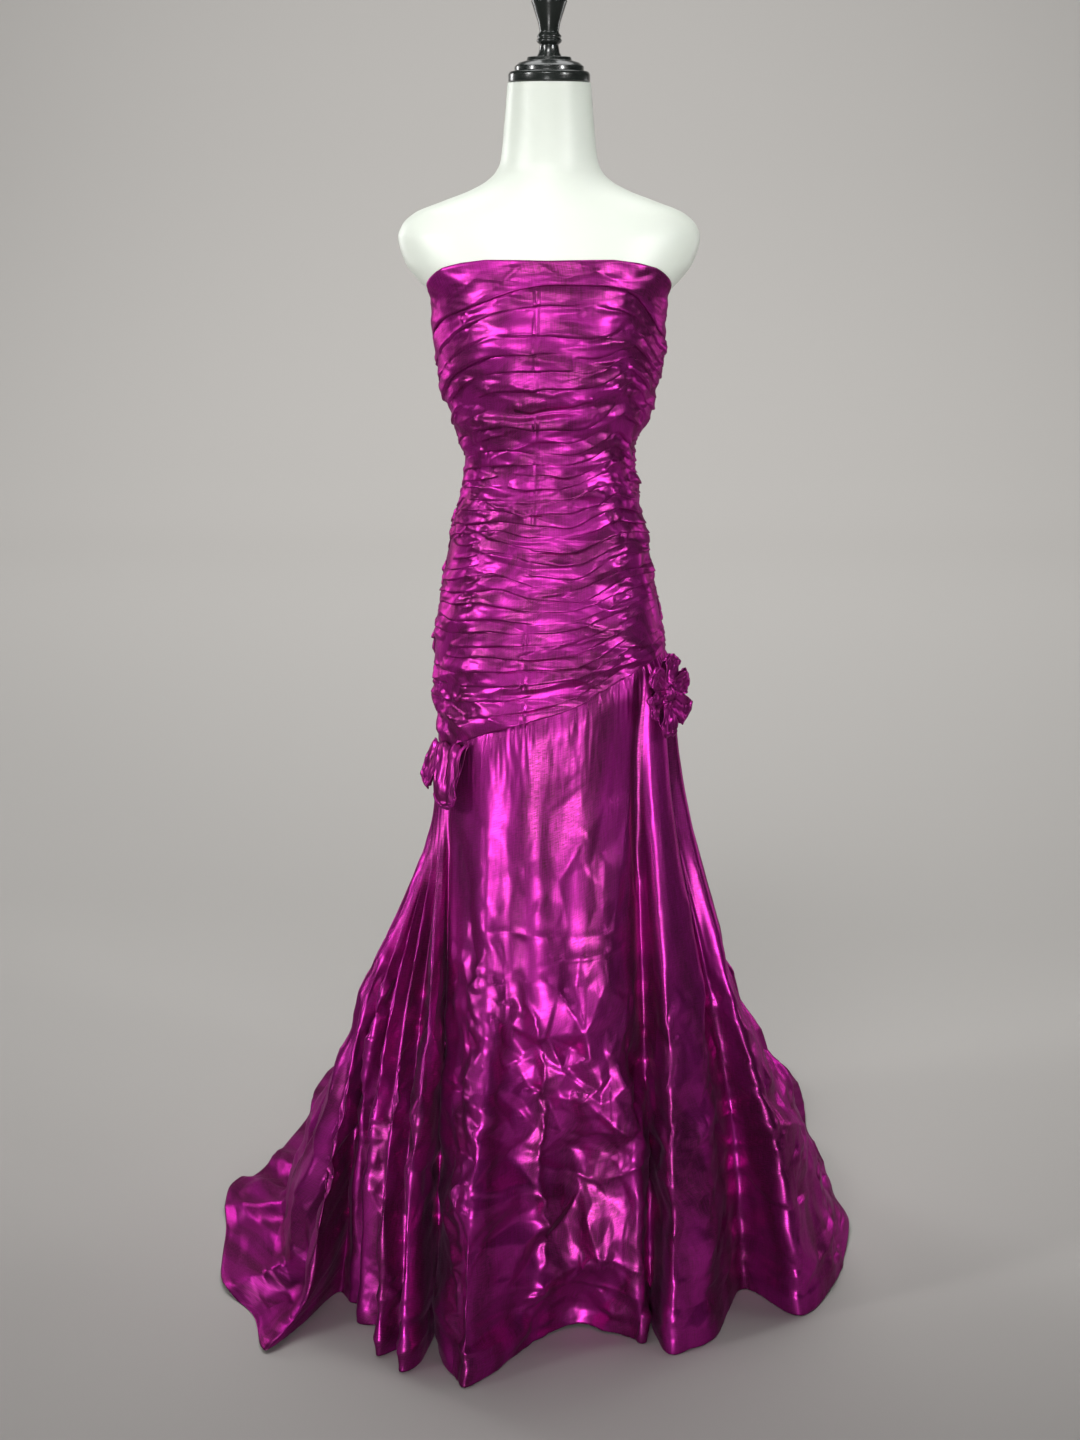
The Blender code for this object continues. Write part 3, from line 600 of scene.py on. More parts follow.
bodiceShape = {
    "valley": 2.0,  # from the form to the bottom of a crease
    "rise": 4.6,  # from there to the crest of a tuck
    "rowsPerTuck": 10,
    "columns": 112,
    "backTucks": 30,
    "centreSeam": (-4.5, -11),  # its angle at the top and at the hip
    "tuckOut": ((0, 0), (0.06, 0.2), (0.3, 0.42), (0.7, 0.84), (0.86, 1), (0.93, 0.94), (0.97, 0.6), (1, 0)),
    "tuckDrop": (
        (0, 0), (0.06, 0.05), (0.3, 0.3), (0.7, 0.76), (0.86, 0.98), (0.93, 1.07), (0.97, 1.08), (1, 1),
    ),
    # the cloth's flats, which meet in sharp folds: height, length, width, slant, number of the pattern
    "slack": ((4.4, 86, 22, 0.16, 9), (2.6, 46, 11, -0.14, 6), (0.7, 19, 6, 0.05, 11)),
    "crushed": ((3.4, 17, 8, 0.1, 7), (1.2, 8, 5, 0, 8)),
    "bunched": ((8.5, 58, 15, -0.5, 12), (3.8, 24, 8, -0.4, 13)),
    "gathers": ((-43, 9, 1), (40, 8, 0.8), (-80, 8, 0.4), (80, 8, 0.4)),  # angle, width, share
    "backGathers": ((180, 7, 0.8), (104, 8, 0.3)),  # the same on either side
    "tension": {  # short sharp creases that run off the tucks at low slants
        "count": 90,
        "seed": 8,
        "across": (-190, 190),
        "up": (770, 1300),
        "long": (28, 95),
        "slant": (3, 24),
        "high": (1.2, 3.2),
        "wide": (1.8, 3.2),
    },
    "creaseAngles": (-72, -31, -5, 19, 43),
    "creases": (  # each tuck's lower crease at those angles, in thousandths of the way down
        (70, 35, 46, 53, 50), (116, 85, 110, 128, 88), (153, 122, 149, 172, 122), (186, 164, 191, 203, 157),
        (216, 206, 234, 240, 188), (244, 239, 283, 276, 221), (267, 277, 322, 339, 262),
        (288, 303, 354, 373, 309), (312, 333, 382, 405, 356), (340, 370, 407, 429, 392),
        (362, 397, 433, 452, 425), (384, 423, 460, 478, 461), (408, 449, 490, 508, 492),
        (434, 474, 520, 540, 525), (463, 501, 547, 569, 558), (491, 527, 577, 600, 588),
        (519, 551, 604, 632, 622), (545, 576, 632, 664, 652), (572, 602, 661, 696, 682),
        (599, 630, 690, 726, 713), (625, 661, 719, 751, 745), (653, 693, 745, 774, 775),
        (682, 725, 771, 796, 803), (712, 758, 797, 820, 829), (743, 789, 825, 847, 854),
        (774, 819, 854, 876, 879), (806, 850, 883, 905, 903), (840, 884, 913, 931, 928),
        (879, 920, 943, 956, 953), (926, 957, 972, 978, 976),
    ),
    "pieces": (  # name, node, first and last angle, seed, cut width, length and area in metres
        ("bodiceFrontRight", "bodice_front_right", -90, 0, 21, 0.240, 0.740, 0.137),
        ("bodiceFrontLeft", "bodice_front_left", 0, 90, 21, 0.235, 0.710, 0.118),
        ("bodiceBackLeft", "bodice_back_left", 90, 180, 52, 0.233, 0.600, 0.101),
        ("bodiceBackRight", "bodice_back_right", -180, -90, 67, 0.225, 0.700, 0.119),
    ),
}


def creaseRows(angle, front, seed):
    if front:
        angles = bodiceShape["creaseAngles"]
        rows = np.array([smoothCurve(angles, row, angle) for row in bodiceShape["creases"]]) / 1000
    else:
        count = bodiceShape["backTucks"]
        rows = np.array([(i + 0.8) / (count + 0.6) + 0 * angle for i in range(count)])
    index = np.arange(len(rows))[:, None]
    wander = 0.007 * softNoise(angle[None, :] / 48, index * 0.7, seed)
    wander += 0.003 * softNoise(angle[None, :] / 20, index * 0.9 + 0.5, seed + 1)
    if front:
        # the tucks step as they cross the centre seam
        crossed = fade(angle[None, :], seamAngle(rows) - 1.2, seamAngle(rows) + 1.2)
        wander += 0.008 * (latticeValue(index, 5 + 0 * index, 3) - 0.5) * (1 - crossed)
    else:
        wander *= 2.2
    ends = np.sin(np.pi * ((index + 1) / (len(rows) + 1))) ** 0.4
    rows = rows + wander * ends
    rows = np.concatenate([np.zeros((1, rows.shape[1])), rows, np.ones((1, rows.shape[1]))])
    for i in range(1, len(rows)):
        rows[i] = np.maximum(rows[i], rows[i - 1] + 0.006)
    return rows / rows[-1]


def seamAngle(share):
    # the centre seam leans to the wearer's right on its way down
    top, bottom = bodiceShape["centreSeam"]
    return top + (bottom - top) * share


def tensionLines():
    tension = bodiceShape["tension"]
    scatter = np.random.default_rng(tension["seed"])
    lines = []
    for _ in range(tension["count"]):
        x, z = scatter.uniform(*tension["across"]), scatter.uniform(*tension["up"])
        long = scatter.uniform(*tension["long"])
        # they fan down and out from the middle
        slant = math.radians(scatter.choice((-1, 1)) * scatter.uniform(*tension["slant"]) - 0.06 * x)
        high, wide = scatter.uniform(*tension["high"]), scatter.uniform(*tension["wide"])
        lines.append((x, z, x + long * math.cos(slant), z + long * math.sin(slant), high, wide))
    return lines


def makeBodice(name, node, first, last, seed, cutWidth, cutLength, cutArea):
    front = first in (-90, 0)
    angle = np.linspace(first, last, bodiceShape["columns"])
    creases = creaseRows(angle, front, seed)
    upper = edgeHeight("bandEdge", angle) + 2
    lower = edgeHeight("hipSeam", angle) - 1.4
    u = np.linspace(0, 1, bodiceShape["rowsPerTuck"], endpoint=False)
    outAlong = smoothCurve(*zip(*bodiceShape["tuckOut"]), u)
    dropAlong = smoothCurve(*zip(*bodiceShape["tuckDrop"]), u)
    shares, outs = [], []
    for i in range(len(creases) - 1):
        span = creases[i + 1] - creases[i]
        tall = span * (upper - lower)
        full = 0.62 + 0.85 * softNoise(angle / 34, i * 3.7, seed + 3)
        full += 0.35 * softNoise(angle / 15, i * 5.1, seed + 4)
        full = np.clip(full, 0.06, 1.4) * np.clip(tall / 13, 0.25, 1.2)
        # the tucks are flatter at the sides
        full = full * (1 - 0.45 * fade(np.abs(angle), 52, 78) * (1 - fade(np.abs(angle), 104, 130)))
        hang = np.clip(full, 0, 1.2)
        plain = u[:, None]
        shares.append(creases[i] + span * (plain + (dropAlong[:, None] - plain) * hang))
        outs.append(bodiceShape["valley"] + bodiceShape["rise"] * full * outAlong[:, None])
    shares.append(np.ones((1, len(angle))))
    outs.append(np.full((1, len(angle)), bodiceShape["valley"]))
    share, out = np.concatenate(shares), np.concatenate(outs)
    height = upper + share * (lower - upper)
    span = angle[None, :] * 2.2
    # slack between the tucks
    fall = 1330 - height
    wrinkle = slantedFacets(span[0], fall, bodiceShape["slack"], seed)
    if front:
        wrinkle += pressedLines(span + 0 * height, height, tensionLines(), 2.5)
        # the tucks are caught up in a bunch above the hip puffs
        bunch = hump(angle[None, :], -68, 24) * fade(share, 0.72, 0.92)
        wrinkle += bunch * slantedFacets(span[0], fall, bodiceShape["bunched"], seed)
    # and it is crushed where it is gathered tightly
    gathers = bodiceShape["gathers" if front else "backGathers"]
    at = angle[None, :] if front else np.abs(angle)[None, :]
    gathered = sum(most * hump(at, middle, width) for middle, width, most in gathers)
    gathered = gathered * fade(softNoise(span / 60, height / 55, seed + 15), -0.35, 0.25)
    wrinkle += gathered * slantedFacets(span[0], fall, bodiceShape["crushed"], seed)
    # held flat where it is stitched down, at the seams
    sewn = 1 - 0.8 * hump(angle[None, :], -90 if front else first, 1.6)
    sewn = sewn - 0.8 * hump(angle[None, :], 90 if front else last, 1.6)
    if front:
        held = 0.1 + 0.5 * fade(softNoise(share * 9, 0 * share, 44), -0.2, 0.4)
        sewn = sewn - held * hump(angle[None, :], seamAngle(share), 0.8)
    edges = fade(share, 0, 0.012)
    lowest = bodiceShape["valley"] * 0.75
    out = lowest + (out - lowest + wrinkle) * sewn * edges
    # the last tuck is turned under over the top of the skirt
    out = np.maximum(out, 0.7 + 4.2 * fade(share, 0.985, 0.995))
    points = offForm(angle[None, :], height, out)
    piece = clothPiece(name, points, node, origin=1 if last == 0 else 0)


for row in bodiceShape["pieces"]:
    makeBodice(*row)
print("bodice made")


skirtShape = {
    "standOff": 3.2,  # from the form to the cloth just below the seam
    "kneeHeight": 400,
    "wall": 1.6,
    "columnsPerLine": 16,
    "rows": 300,
    "folds": (  # angle, hip, knee x, knee y, hem x, hem y, train, lift
        (-180, 20, 0, 276, 20, 985, 1, 14), (-172, 16, -56, 262, -150, 968, 1, 0),
        (-164, 21, -110, 266, -274, 902, 1, 16), (-156, 15, -140, 226, -348, 800, 1, 0),
        (-148, 19, -178, 214, -374, 672, 0.95, 15), (-140, 13, -188, 166, -380, 566, 0.9, 0),
        (-132, 17, -212, 146, -404, 458, 0.85, 14), (-124, 12, -216, 100, -428, 366, 0.8, 0),
        (-116, 16, -236, 78, -464, 280, 0.75, 16), (-108, 11, -234, 38, -452, 140, 0.75, 0),
        (-101, 14, -244, 8, -438, -6, 0.75, 15), (-96, 9, -230, -12, -386, -100, 0.7, 2),
        (-92, 13, -238, -42, -352, -200, 0.6, 10), (-88, 6, -216, -34, -284, -40, 0.2, 0),
        (-85, 12, -222, -72, -262, -64, 0, 0), (-82, 7, -202, -60, -238, -72, 0, 0),
        (-79, 13, -204, -104, -245, -118, 0, 0), (-76, 6, -182, -86, -212, -134, 0, 0),
        (-73, 13, -182, -132, -216, -207, 0, 0), (-70, 6, -162, -104, -184, -190, 0, 0),
        (-67, 14, -154, -154, -184, -248, 0, 0), (-65, 10, -140, -140, -160, -222, 0, 0),
        (-63, 4, -131, -94, -143, -138, 0, 0), (-59, 6, -127, -110, -136, -190, 0, 0),
        (-52, 7, -114, -124, -126, -236, 0, 0), (-42, 9, -97, -143, -112, -268, 0, 0),
        (-31, 15, -77, -166, -98, -284, 0, 0), (-19, 9, -46, -157, -40, -190, 0, 0),
        (-7, 12, -8, -164, 2, -150, 0, 3), (6, 9, 24, -157, 40, -134, 0, 8),
        (18, 11, 52, -158, 76, -144, 0, 4), (30, 10, 79, -152, 100, -160, 0, 0),
        (41, 9, 103, -128, 120, -174, 0, 0), (48, 4, 121, -86, 132, -112, 0, 0),
        (54, 18, 145, -134, 150, -200, 0, 0), (61, 22, 173, -120, 182, -190, 0, 0),
        (69, 20, 198, -96, 214, -158, 0, 0), (77, 10, 200, -64, 236, -84, 0, 0),
        (83, 8, 212, -36, 262, -24, 0, 0), (88, 22, 240, -52, 316, -96, 0, 0),
        (93, 25, 250, -28, 346, -86, 0.05, 0), (99, 24, 252, -2, 376, -26, 0.1, 4),
        (106, 18, 244, 30, 402, 58, 0.2, 0), (114, 24, 248, 72, 420, 170, 0.35, 10),
        (122, 18, 230, 102, 412, 290, 0.5, 0), (130, 23, 228, 146, 408, 400, 0.65, 14),
        (139, 16, 198, 168, 404, 530, 0.8, 0), (147, 22, 184, 216, 410, 650, 0.9, 15),
        (155, 16, 146, 228, 400, 768, 1, 0), (163, 21, 114, 268, 330, 892, 1, 16),
        (171, 16, 56, 262, 190, 966, 1, 0),
    ),
    # name, node, first and last angle at the seam, cut width, length and area in metres, hangs from
    "pieces": (
        ("skirtBackRight", "skirt_back_right", -180, -96, 1.38, 1.39, 0.655, "bodiceBackRight"),
        ("skirtSideRight", "skirt_side_right", -96, -64, 0.71, 0.86, 0.283, "bodiceFrontRight"),
        ("skirtFront", "skirt_front", -64, 51, 0.66, 0.89, 0.355, "bodiceFrontRight"),
        ("skirtSideLeft", "skirt_side_left", 51, 106, 0.56, 0.93, 0.272, "bodiceFrontLeft"),
        ("skirtBackLeft", "skirt_back_left", 106, 180, 1.19, 1.40, 0.600, "bodiceBackLeft"),
    ),
    "crushedAt": (  # angle at the seam, how much of the crushing shows there
        (-180, 0.9), (-130, 0.8), (-98, 0.7), (-88, 0.5), (-66, 0.5), (-58, 0.7), (-45, 1),
        (38, 1), (46, 0.7), (52, 0.5), (98, 0.55), (115, 0.75), (180, 0.9),
    ),
    # width and height of its flats, number of the pattern, height above and below the knee,
    # and how closely it keeps to crushedAt
    "crushing": ((70, 92, 13, 0, 20, 2), (35, 44, 17, 4.2, 7.5, 1), (15, 19, 19, 1.2, 2.5, 0.5)),
    "fannedAt": (  # angle at the seam, height of the soft pleats over the train
        (-180, 5), (-140, 7), (-128, 10), (-100, 12), (-94, 3), (-66, 0),
        (96, 0), (108, 6), (128, 9), (140, 7), (180, 5),
    ),
    "creases": (  # x, z, x, z, height, width: creases pressed into the front by storage and wear
        (-87, 533, 33, 528, 2.6, 3.5), (33, 526, 97, 535, 2.6, 3.5), (-10, 493, 97, 512, 3.2, 4.0),
        (47, 324, 133, 246, 5.5, 5.0), (133, 246, 65, 210, 5.0, 5.0), (65, 210, -10, 238, 4.5, 5.0),
        (-4, 324, 47, 324, 3.0, 4.0), (24, 72, 65, 116, 4.5, 4.5), (65, 116, 120, 94, 4.5, 4.5),
        (120, 94, 135, 36, 4.5, 4.5), (24, 72, 120, 60, 3.5, 4.0), (97, 450, 84, 366, 3.5, 4.0),
        (84, 366, 37, 317, 3.5, 4.0), (-60, 200, -96, 130, 4.0, 5.0), (-66, 330, -36, 270, 3.5, 4.5),
    ),
    "jaggedRidges": (
        (-83, 503, -88, 429, 4.5, 3.6), (-88, 429, -95, 310, 5.5, 4.0), (-95, 310, -110, 167, 6.0, 4.4),
        (-110, 167, -117, 50, 6.0, 4.4), (-31, 472, -7, 380, 5.0, 3.6), (-7, 380, -4, 324, 5.5, 3.8),
        (-4, 324, -21, 210, 6.0, 4.0), (-21, 210, -10, 152, 6.0, 4.0), (-10, 152, -17, 94, 6.0, 4.0),
        (-17, 94, -45, 21, 5.0, 4.2),
    ),
}


def blend(start, end, share):
    return start + (end - start) * share


def roundTheRing(values, parts):
    # a smooth closed curve through the values, with so many steps from each to the next
    before, after, nextButOne = (np.roll(values, shift, axis=0) for shift in (1, -1, -2))
    rows = []
    for k in range(parts):
        u = k / parts
        rows.append(0.5 * (
            2 * values
            + (after - before) * u
            + (2 * before - 5 * values + 4 * after - nextButOne) * u**2
            + (3 * values - before - 3 * after + nextButOne) * u**3
        ))
    return np.stack(rows, axis=1).reshape(-1, *values.shape[1:])


def foldLine(angle, hip, kneeX, kneeY, hemX, hemY, train, lift):
    seam = float(edgeHeight("hipSeam", angle)) - 0.6
    knee, hem = np.array((kneeX, kneeY)), np.array((hemX, hemY))
    top = offForm(angle, seam + 5, 1.3)
    sewn = offForm(angle, seam - 1, skirtShape["standOff"])
    gathered = offForm(angle, seam - 30, skirtShape["standOff"] + 0.55 * hip)
    hipPoint = offForm(angle, seam * 0.87, skirtShape["standOff"] + hip)
    ankle = blend(knee, hem, blend(0.74, 0.30, train))
    floor = blend(knee, hem, blend(0.87, 0.48, train))
    return np.array((
        top, sewn, gathered, hipPoint,
        (*knee, skirtShape["kneeHeight"]),
        (*ankle, blend(188, 100 + lift, train)),
        (*floor, blend(90, 4 + lift, train)),
        (*hem, skirtShape["wall"] / 2 + 0.5 * lift),
    ))


def skirtSurface():
    parts = skirtShape["columnsPerLine"]
    lines = roundTheRing(np.array([foldLine(*fold) for fold in skirtShape["folds"]]), parts)
    down = np.linspace(0, 1, skirtShape["rows"])
    down = down - 0.012 * np.sin(2 * np.pi * down)
    stations = (0, 0.012, 0.045, 0.135, 0.47, 0.76, 0.87, 1)
    grid = np.empty((len(down), len(lines), 3))
    for axis in range(3):
        for column in range(len(lines)):
            grid[:, column, axis] = smoothCurve(stations, lines[column, :, axis], down)
    ring = np.radians([fold[0] for fold in skirtShape["folds"]])
    turned = roundTheRing(np.stack([np.cos(ring), np.sin(ring)], axis=1), parts)
    atSeam = np.degrees(np.arctan2(turned[:, 1], turned[:, 0]))
    top = offForm(atSeam, edgeHeight("hipSeam", atSeam) + 5, 1.3)
    grid += (top - grid[0])[None] * (1 - fade(down, 0, 0.02))[:, None, None]
    return grid, down, atSeam


def skirtWithCreases():
    grid, down, atSeam = skirtSurface()
    closed = np.concatenate([grid[:, -1:], grid, grid[:, :1]], axis=1)
    normal = gridNormals(closed)[:, 1:-1]
    x, y, z = (grid[..., axis] for axis in range(3))
    knee = int(np.searchsorted(down, 0.47))
    step = np.linalg.norm(np.roll(grid[knee], -1, axis=0) - grid[knee], axis=1)
    across = np.cumsum(step)[None, :] - step[0]
    gathered = np.linalg.norm(np.roll(grid, -1, axis=1) - grid, axis=2) / step[None, :]
    room = np.clip(gathered, 0.12, 1)
    drop = 900 * down[:, None]
    facing = np.clip(-normal[..., 1], 0, 1)
    front = fade(-y, 60, 110) * fade(facing, 0.1, 0.5) * (np.abs(atSeam) < 75)[None, :]
    low = fade(down, 0.32, 0.46)[:, None]
    mid = fade(down, 0.01, 0.3)[:, None]
    # gathers just under the seam
    near = np.exp(-drop / 42)
    seamRun = (atSeam * 2.4)[None, :]
    tucked = 2.2 * (ridges(seamRun / 9, drop / 90, 3) - 0.4) + 1.4 * softNoise(seamRun / 4, drop / 40, 4)
    # slack that hangs from the seam
    height = 1.8 * mid * softNoise(across / 60, drop / 330, 7)
    slack = ridges(across / 30 + drop / 400, drop / 200, 9) - 0.4
    height += 0.4 * slack * fade(down, 0.02, 0.2)[:, None]
    # crumples, fewer of them in some places than in others
    calm = 0.55 + 0.45 * fade(softNoise(across / 120, drop / 140, 27), -0.5, 0.3)
    crushed = np.interp(atSeam, *zip(*skirtShape["crushedAt"]))[None, :]
    for wide, tall, seed, above, below, closely in skirtShape["crushing"]:
        flats = crushedFacets(across[0], drop[:, 0], wide, tall, seed)
        height += crushed**closely * (above * mid + below * low) * calm * flats
    # soft pleats that fan out over the train
    fanned = np.interp(atSeam, *zip(*skirtShape["fannedAt"]))[None, :]
    sway = 0.2 * softNoise(across / 90, drop / 90, 51)
    height += fanned * low * (ridges(across / 40 + sway, drop / 700, 52) - 0.4)
    height = near * tucked + height * room
    for lines, jagged in ((skirtShape["creases"], 1.5), (skirtShape["jaggedRidges"], 7)):
        height += pressedLines(x, z, lines, jagged) * front
    # the centre back is held flat by its seam
    height *= fade(np.minimum(across - across[0, 0], across[0, -1] - across), 0, 22)
    height *= fade(down, 0.004, 0.03)[:, None]
    height *= 1 - 0.45 * fade(down, 0.96, 1)[:, None]
    points = grid + normal * height[..., None]
    points[..., 2] = np.maximum(points[..., 2], 0.8)
    # the hem is turned up inside
    turnedUp = [points[-back] - normal[-back] * thick for back, thick in ((1, 1.0), (2, 1.4), (4, 1.4))]
    points = np.concatenate([points, np.array(turnedUp)])
    points[..., 2] = np.maximum(points[..., 2], 0.4)
    return points


def makeSkirt():
    points = skirtWithCreases()
    angles = [fold[0] for fold in skirtShape["folds"]] + [180]
    for name, node, first, last, cutWidth, cutLength, cutArea, above in skirtShape["pieces"]:
        ends = np.interp((first, last), angles, range(len(angles)))
        start, end = (round(end * skirtShape["columnsPerLine"]) for end in ends)
        columns = np.arange(start, end + 1) % points.shape[1]
        piece = clothPiece(name, points[:, columns], node, cloth=hungSatin)


makeSkirt()
print("skirt made")


loopShapes = {
    "cloth": 0.8,
    "fullness": 1.3,  # the made-up loops stand fuller than their cores
    "stations": 82,
    "across": 36,
    "bow": 0.096,
    "pleat": 2.2,
    "roll": 1.6,
    "crushed": (3.2, 1.2),
    "loop": {"raised": 0, "longer": 0, "rootShare": 0.55, "swell": 0.55, "corner": 0.1, "tilted": 1},
    # a puff is widest where it is sewn under the seam, a loop at its tip
    "puff": {"raised": 7, "longer": 9, "rootShare": 1.12, "swell": -0.3, "corner": 0.17, "tilted": 0.65},
    # name, node, angle, height, out, direction, root, length, width, gap, tilt, cut width and length
    "loops": (
        ("rosetteLoop1", "rosette_loop_1", 60, 822, 22.1, 78, 10.7, 27, 23, 11, 0.05, 34, 88),
        ("rosetteLoop2", "rosette_loop_2", 60, 822, 22.1, 18, 10.7, 25, 22, 12, 0.10, 33, 80),
        ("rosetteLoop3", "rosette_loop_3", 60, 822, 22.1, -42, 10.7, 29, 24, 12, 0.22, 34, 90),
        ("rosetteLoop4", "rosette_loop_4", 60, 822, 22.1, -102, 10.7, 31, 24, 11, 0.26, 34, 98),
        ("rosetteLoop5", "rosette_loop_5", 60, 822, 22.1, -162, 10.7, 26, 23, 12, 0.16, 33, 86),
        ("rosetteLoop6", "rosette_loop_6", 60, 822, 22.1, 138, 10.7, 24, 22, 11, 0.05, 32, 78),
        ("hipPuffFront", "hip_puff_front", -54, 750, 6.6, -86, 2, 50, 38, 13, 0.34, 50, 166),
        ("hipPuffSide", "hip_puff_side", -71, 744, 7.1, -100, 2, 34, 28, 10, 0.40, 39, 121),
    ),
    "knotRadius": 10.6,
    "knotOut": 5.5,
    "knotPleats": ((0.05, 7, 3), (0.035, 11, -5)),  # height, how many, and their twist
    "knotPattern": 0.06,  # metres of cloth round the knot
}


def loopFrame(angle, height, out, direction):
    centre = offForm(angle, height, out)
    outwards = offForm(angle, height, out + 1) - centre
    level = np.cross((0, 0, 1), outwards)
    turn = math.radians(direction)
    along = math.cos(turn) * level + math.sin(turn) * np.array((0, 0, 1))
    return centre, outwards, along, np.cross(outwards, along)


def makeLoop(
    index, name, node, angle, height, out, direction, root, length, width, gap, tilt, cutWidth, cutLength
):
    hanging = name.startswith("hip")
    kind = loopShapes["puff" if hanging else "loop"]
    centre, outwards, along, across = loopFrame(angle, height + kind["raised"], out, direction)
    s = np.linspace(0, 1, loopShapes["stations"])
    length = length * loopShapes["fullness"] + kind["longer"]
    reach = root + length * (1 - np.cos(2 * np.pi * s)) / 2
    lifted = s - s**9 if hanging else s + 0.16 * np.sin(4 * np.pi * (s - 0.5)) * np.sin(np.pi * s)
    rise = gap * lifted + tilt * kind["tilted"] * (reach - root)
    half = width * loopShapes["fullness"] * (kind["rootShare"] + kind["swell"] * np.sin(np.pi * s) ** 0.7) / 2
    side = np.linspace(-1, 1, loopShapes["across"])
    t, v = s[:, None], side[None, :]
    reach = reach[:, None] * (1 - kind["corner"] * v**4)
    points = (
        centre
        + reach[..., None] * along
        + rise[:, None, None] * outwards
        + (half[:, None] * v)[..., None] * across
    )
    # the loop is pinched at its root, bows across its width and crumples towards its tip
    bow = (loopShapes["bow"] * width * (1 - v**2) * np.sin(np.pi * t)) * np.sign(t - 0.5)
    pleat = loopShapes["pleat"] * np.cos(v * 8 + index + 2 * t) * (1 - np.sin(np.pi * t))
    pleat += loopShapes["roll"] * softNoise(v * 2 + index * 7, t * 5, 31)
    large, small = loopShapes["crushed"]
    crushed = large * crumple(v * 1.3 + index * 5, t * 6, 37) + small * crumple(v * 3 + index * 5, t * 13, 38)
    points = points + gridNormals(points) * (bow + pleat + crushed * np.sin(np.pi * t))[..., None]
    piece = clothPiece(name, points, node, loopShapes["cloth"])


def makeKnot():
    angle, height, out = loopShapes["loops"][0][2:5]
    centre, outwards = loopFrame(angle, height, out, 90)[:2]
    middle = Vector(centre + outwards * loopShapes["knotOut"]) * metresPerMm
    bm = bmesh.new()
    bm.loops.layers.uv.new("cloth")
    bmesh.ops.create_uvsphere(
        bm, u_segments=72, v_segments=40, radius=loopShapes["knotRadius"] * metresPerMm, calc_uvs=True
    )
    turn = Vector(outwards).to_track_quat("Z", "Y").to_matrix()
    for vert in bm.verts:
        around, level = math.atan2(vert.co.y, vert.co.x), vert.co.normalized().z
        pleats = sum(
            high * math.cos(around * count + twist * level) for high, count, twist in loopShapes["knotPleats"]
        )
        vert.co *= 1 + pleats * (1 - level**6)
        vert.co = turn @ vert.co + middle
    bmesh.ops.recalc_face_normals(bm, faces=bm.faces)
    piece = placeMesh("rosetteKnot", bm, satin, "rosette_knot")
    uvs = piece.data.uv_layers["cloth"].data
    flat = np.empty(len(uvs) * 2, np.float32)
    uvs.foreach_get("uv", flat)
    uvs.foreach_set("uv", flat * loopShapes["knotPattern"])
    piece.data.shade_smooth()


for index, row in enumerate(loopShapes["loops"]):
    makeLoop(index, *row)
makeKnot()
print("rosette and puffs made")


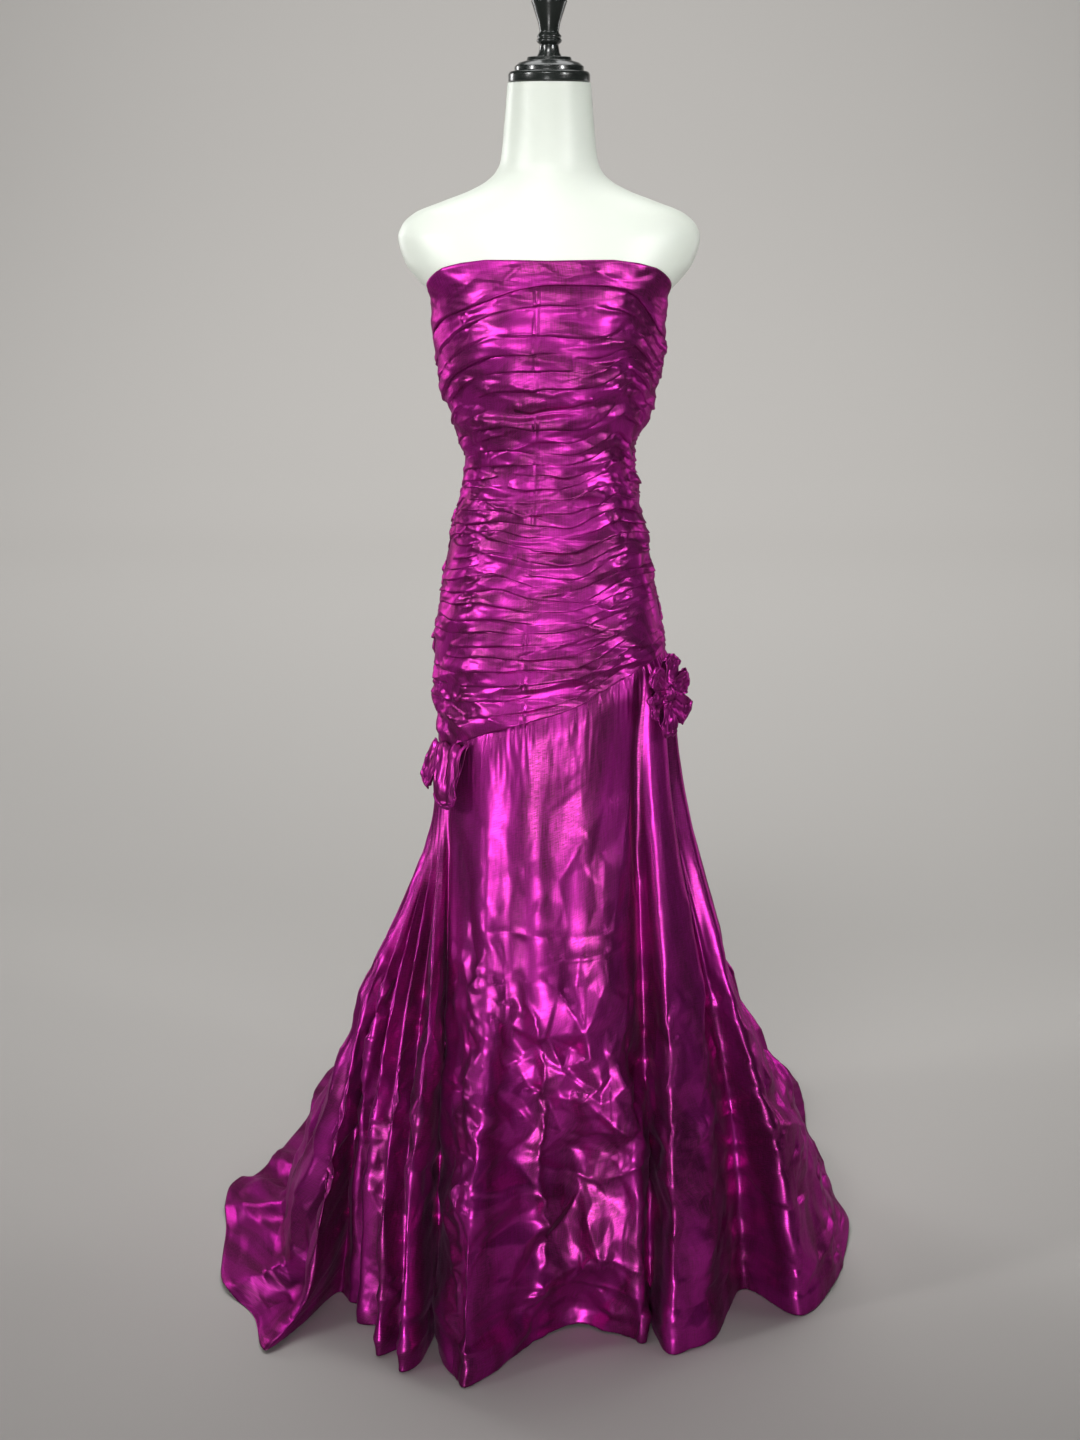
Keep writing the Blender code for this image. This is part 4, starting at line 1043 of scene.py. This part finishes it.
stageSetting = {  # in metres
    "floor": "#C6C3BF",
    "world": 0.03,
    "camera": (-0.011, -2.9, 1.42),
    "tilt": 77.4,
    "lens": 58.5,
    "lights": (  # name, place, aims at, width, height, watts, spread
        ("frontStrip", (-0.35, -3.0, 0.85), (0.0, 0.0, 0.7), 0.55, 1.3, 1.8, 70),
        ("highStrip", (-0.4, -2.2, 3.0), (0.0, 0.0, 1.32), 0.9, 0.5, 1.6, 40),
        ("lowStrip", (-0.2, -2.7, 0.3), (0.0, 0.0, 0.35), 0.8, 0.45, 4.2, 60),
        ("rightStrip", (1.9, -1.9, 2.1), (0.0, 0.0, 1.22), 0.4, 1.0, 1.2, 24),
        ("leftStrip", (-2.3, -1.3, 1.9), (0.0, 0.0, 1.0), 0.3, 1.4, 1.8, 26),
        ("leftRim", (-2.1, 1.8, 1.4), (0.0, 0.0, 0.8), 0.5, 1.7, 4, 70),
        ("rightRim", (2.2, 1.6, 0.9), (0.15, 0.0, 0.5), 0.4, 1.2, 1.2, 60),
        ("overhead", (0.0, 1.6, 4.6), (0.0, 1.6, 0.0), 3.5, 3.5, 70, 130),
        ("backdropWash", (0.0, 4.6, 6.6), (0.0, 8.4, 0.6), 8.0, 2.0, 260, 130),
    ),
    "sweep": ((-9, 0), (6.5, 0), (7.6, 0.22), (8.6, 0.8), (9.4, 1.7), (9.9, 2.9), (10, 4.2), (10, 9)),
    "sweepHalfWidth": 9,
    "below": 0.0006,  # how far the floor lies under the hem
}


def makeFloor():
    # a floor that sweeps up into a backdrop
    sweep = np.array(stageSetting["sweep"])
    run = np.linspace(0, len(sweep) - 1, 64)
    line = np.stack([smoothCurve(range(len(sweep)), sweep[:, axis], run) for axis in (0, 1)], axis=1)
    bm = bmesh.new()
    bmesh.ops.create_grid(bm, x_segments=1, y_segments=len(line) - 1, size=0.5)
    for index, vert in enumerate(bm.verts):
        y, z = line[index // 2]
        vert.co = (math.copysign(stageSetting["sweepHalfWidth"], vert.co.x), y, z - stageSetting["below"])
    material, tree, surface, _ = newMaterial("paleStudioFloor")
    setInputs(tree, surface, {"Base Color": linearColour(stageSetting["floor"]), "Roughness": 0.9})
    floor = addMesh("floor", bm, material)
    floor.data.shade_smooth()


def makeLights():
    for name, place, target, width, height, watts, spread in stageSetting["lights"]:
        lamp = bpy.data.lights.new(name, "AREA")
        lamp.shape = "RECTANGLE"
        lamp.size = width
        lamp.size_y = height
        lamp.energy = watts
        lamp.spread = math.radians(spread)
        light = addObject(name, lamp)
        light.location = place
        light.rotation_euler = (Vector(target) - Vector(place)).to_track_quat("-Z", "Y").to_euler()
    world = bpy.context.scene.world or bpy.data.worlds.new("studio")
    bpy.context.scene.world = world
    world.use_nodes = True
    glow = {"Color": (0.9, 0.9, 0.92, 1), "Strength": stageSetting["world"]}
    setInputs(world.node_tree, world.node_tree.nodes["Background"], glow)


def makeCamera():
    camera = addObject("camera", bpy.data.cameras.new("camera"))
    camera.location = stageSetting["camera"]
    camera.rotation_euler = (math.radians(stageSetting["tilt"]), 0, 0)
    camera.data.lens = stageSetting["lens"]
    camera.data.sensor_width = 36
    bpy.context.scene.camera = camera


makeFloor()
makeLights()
makeCamera()
bpy.context.scene.view_settings.view_transform = "Standard"

print("scene ready")
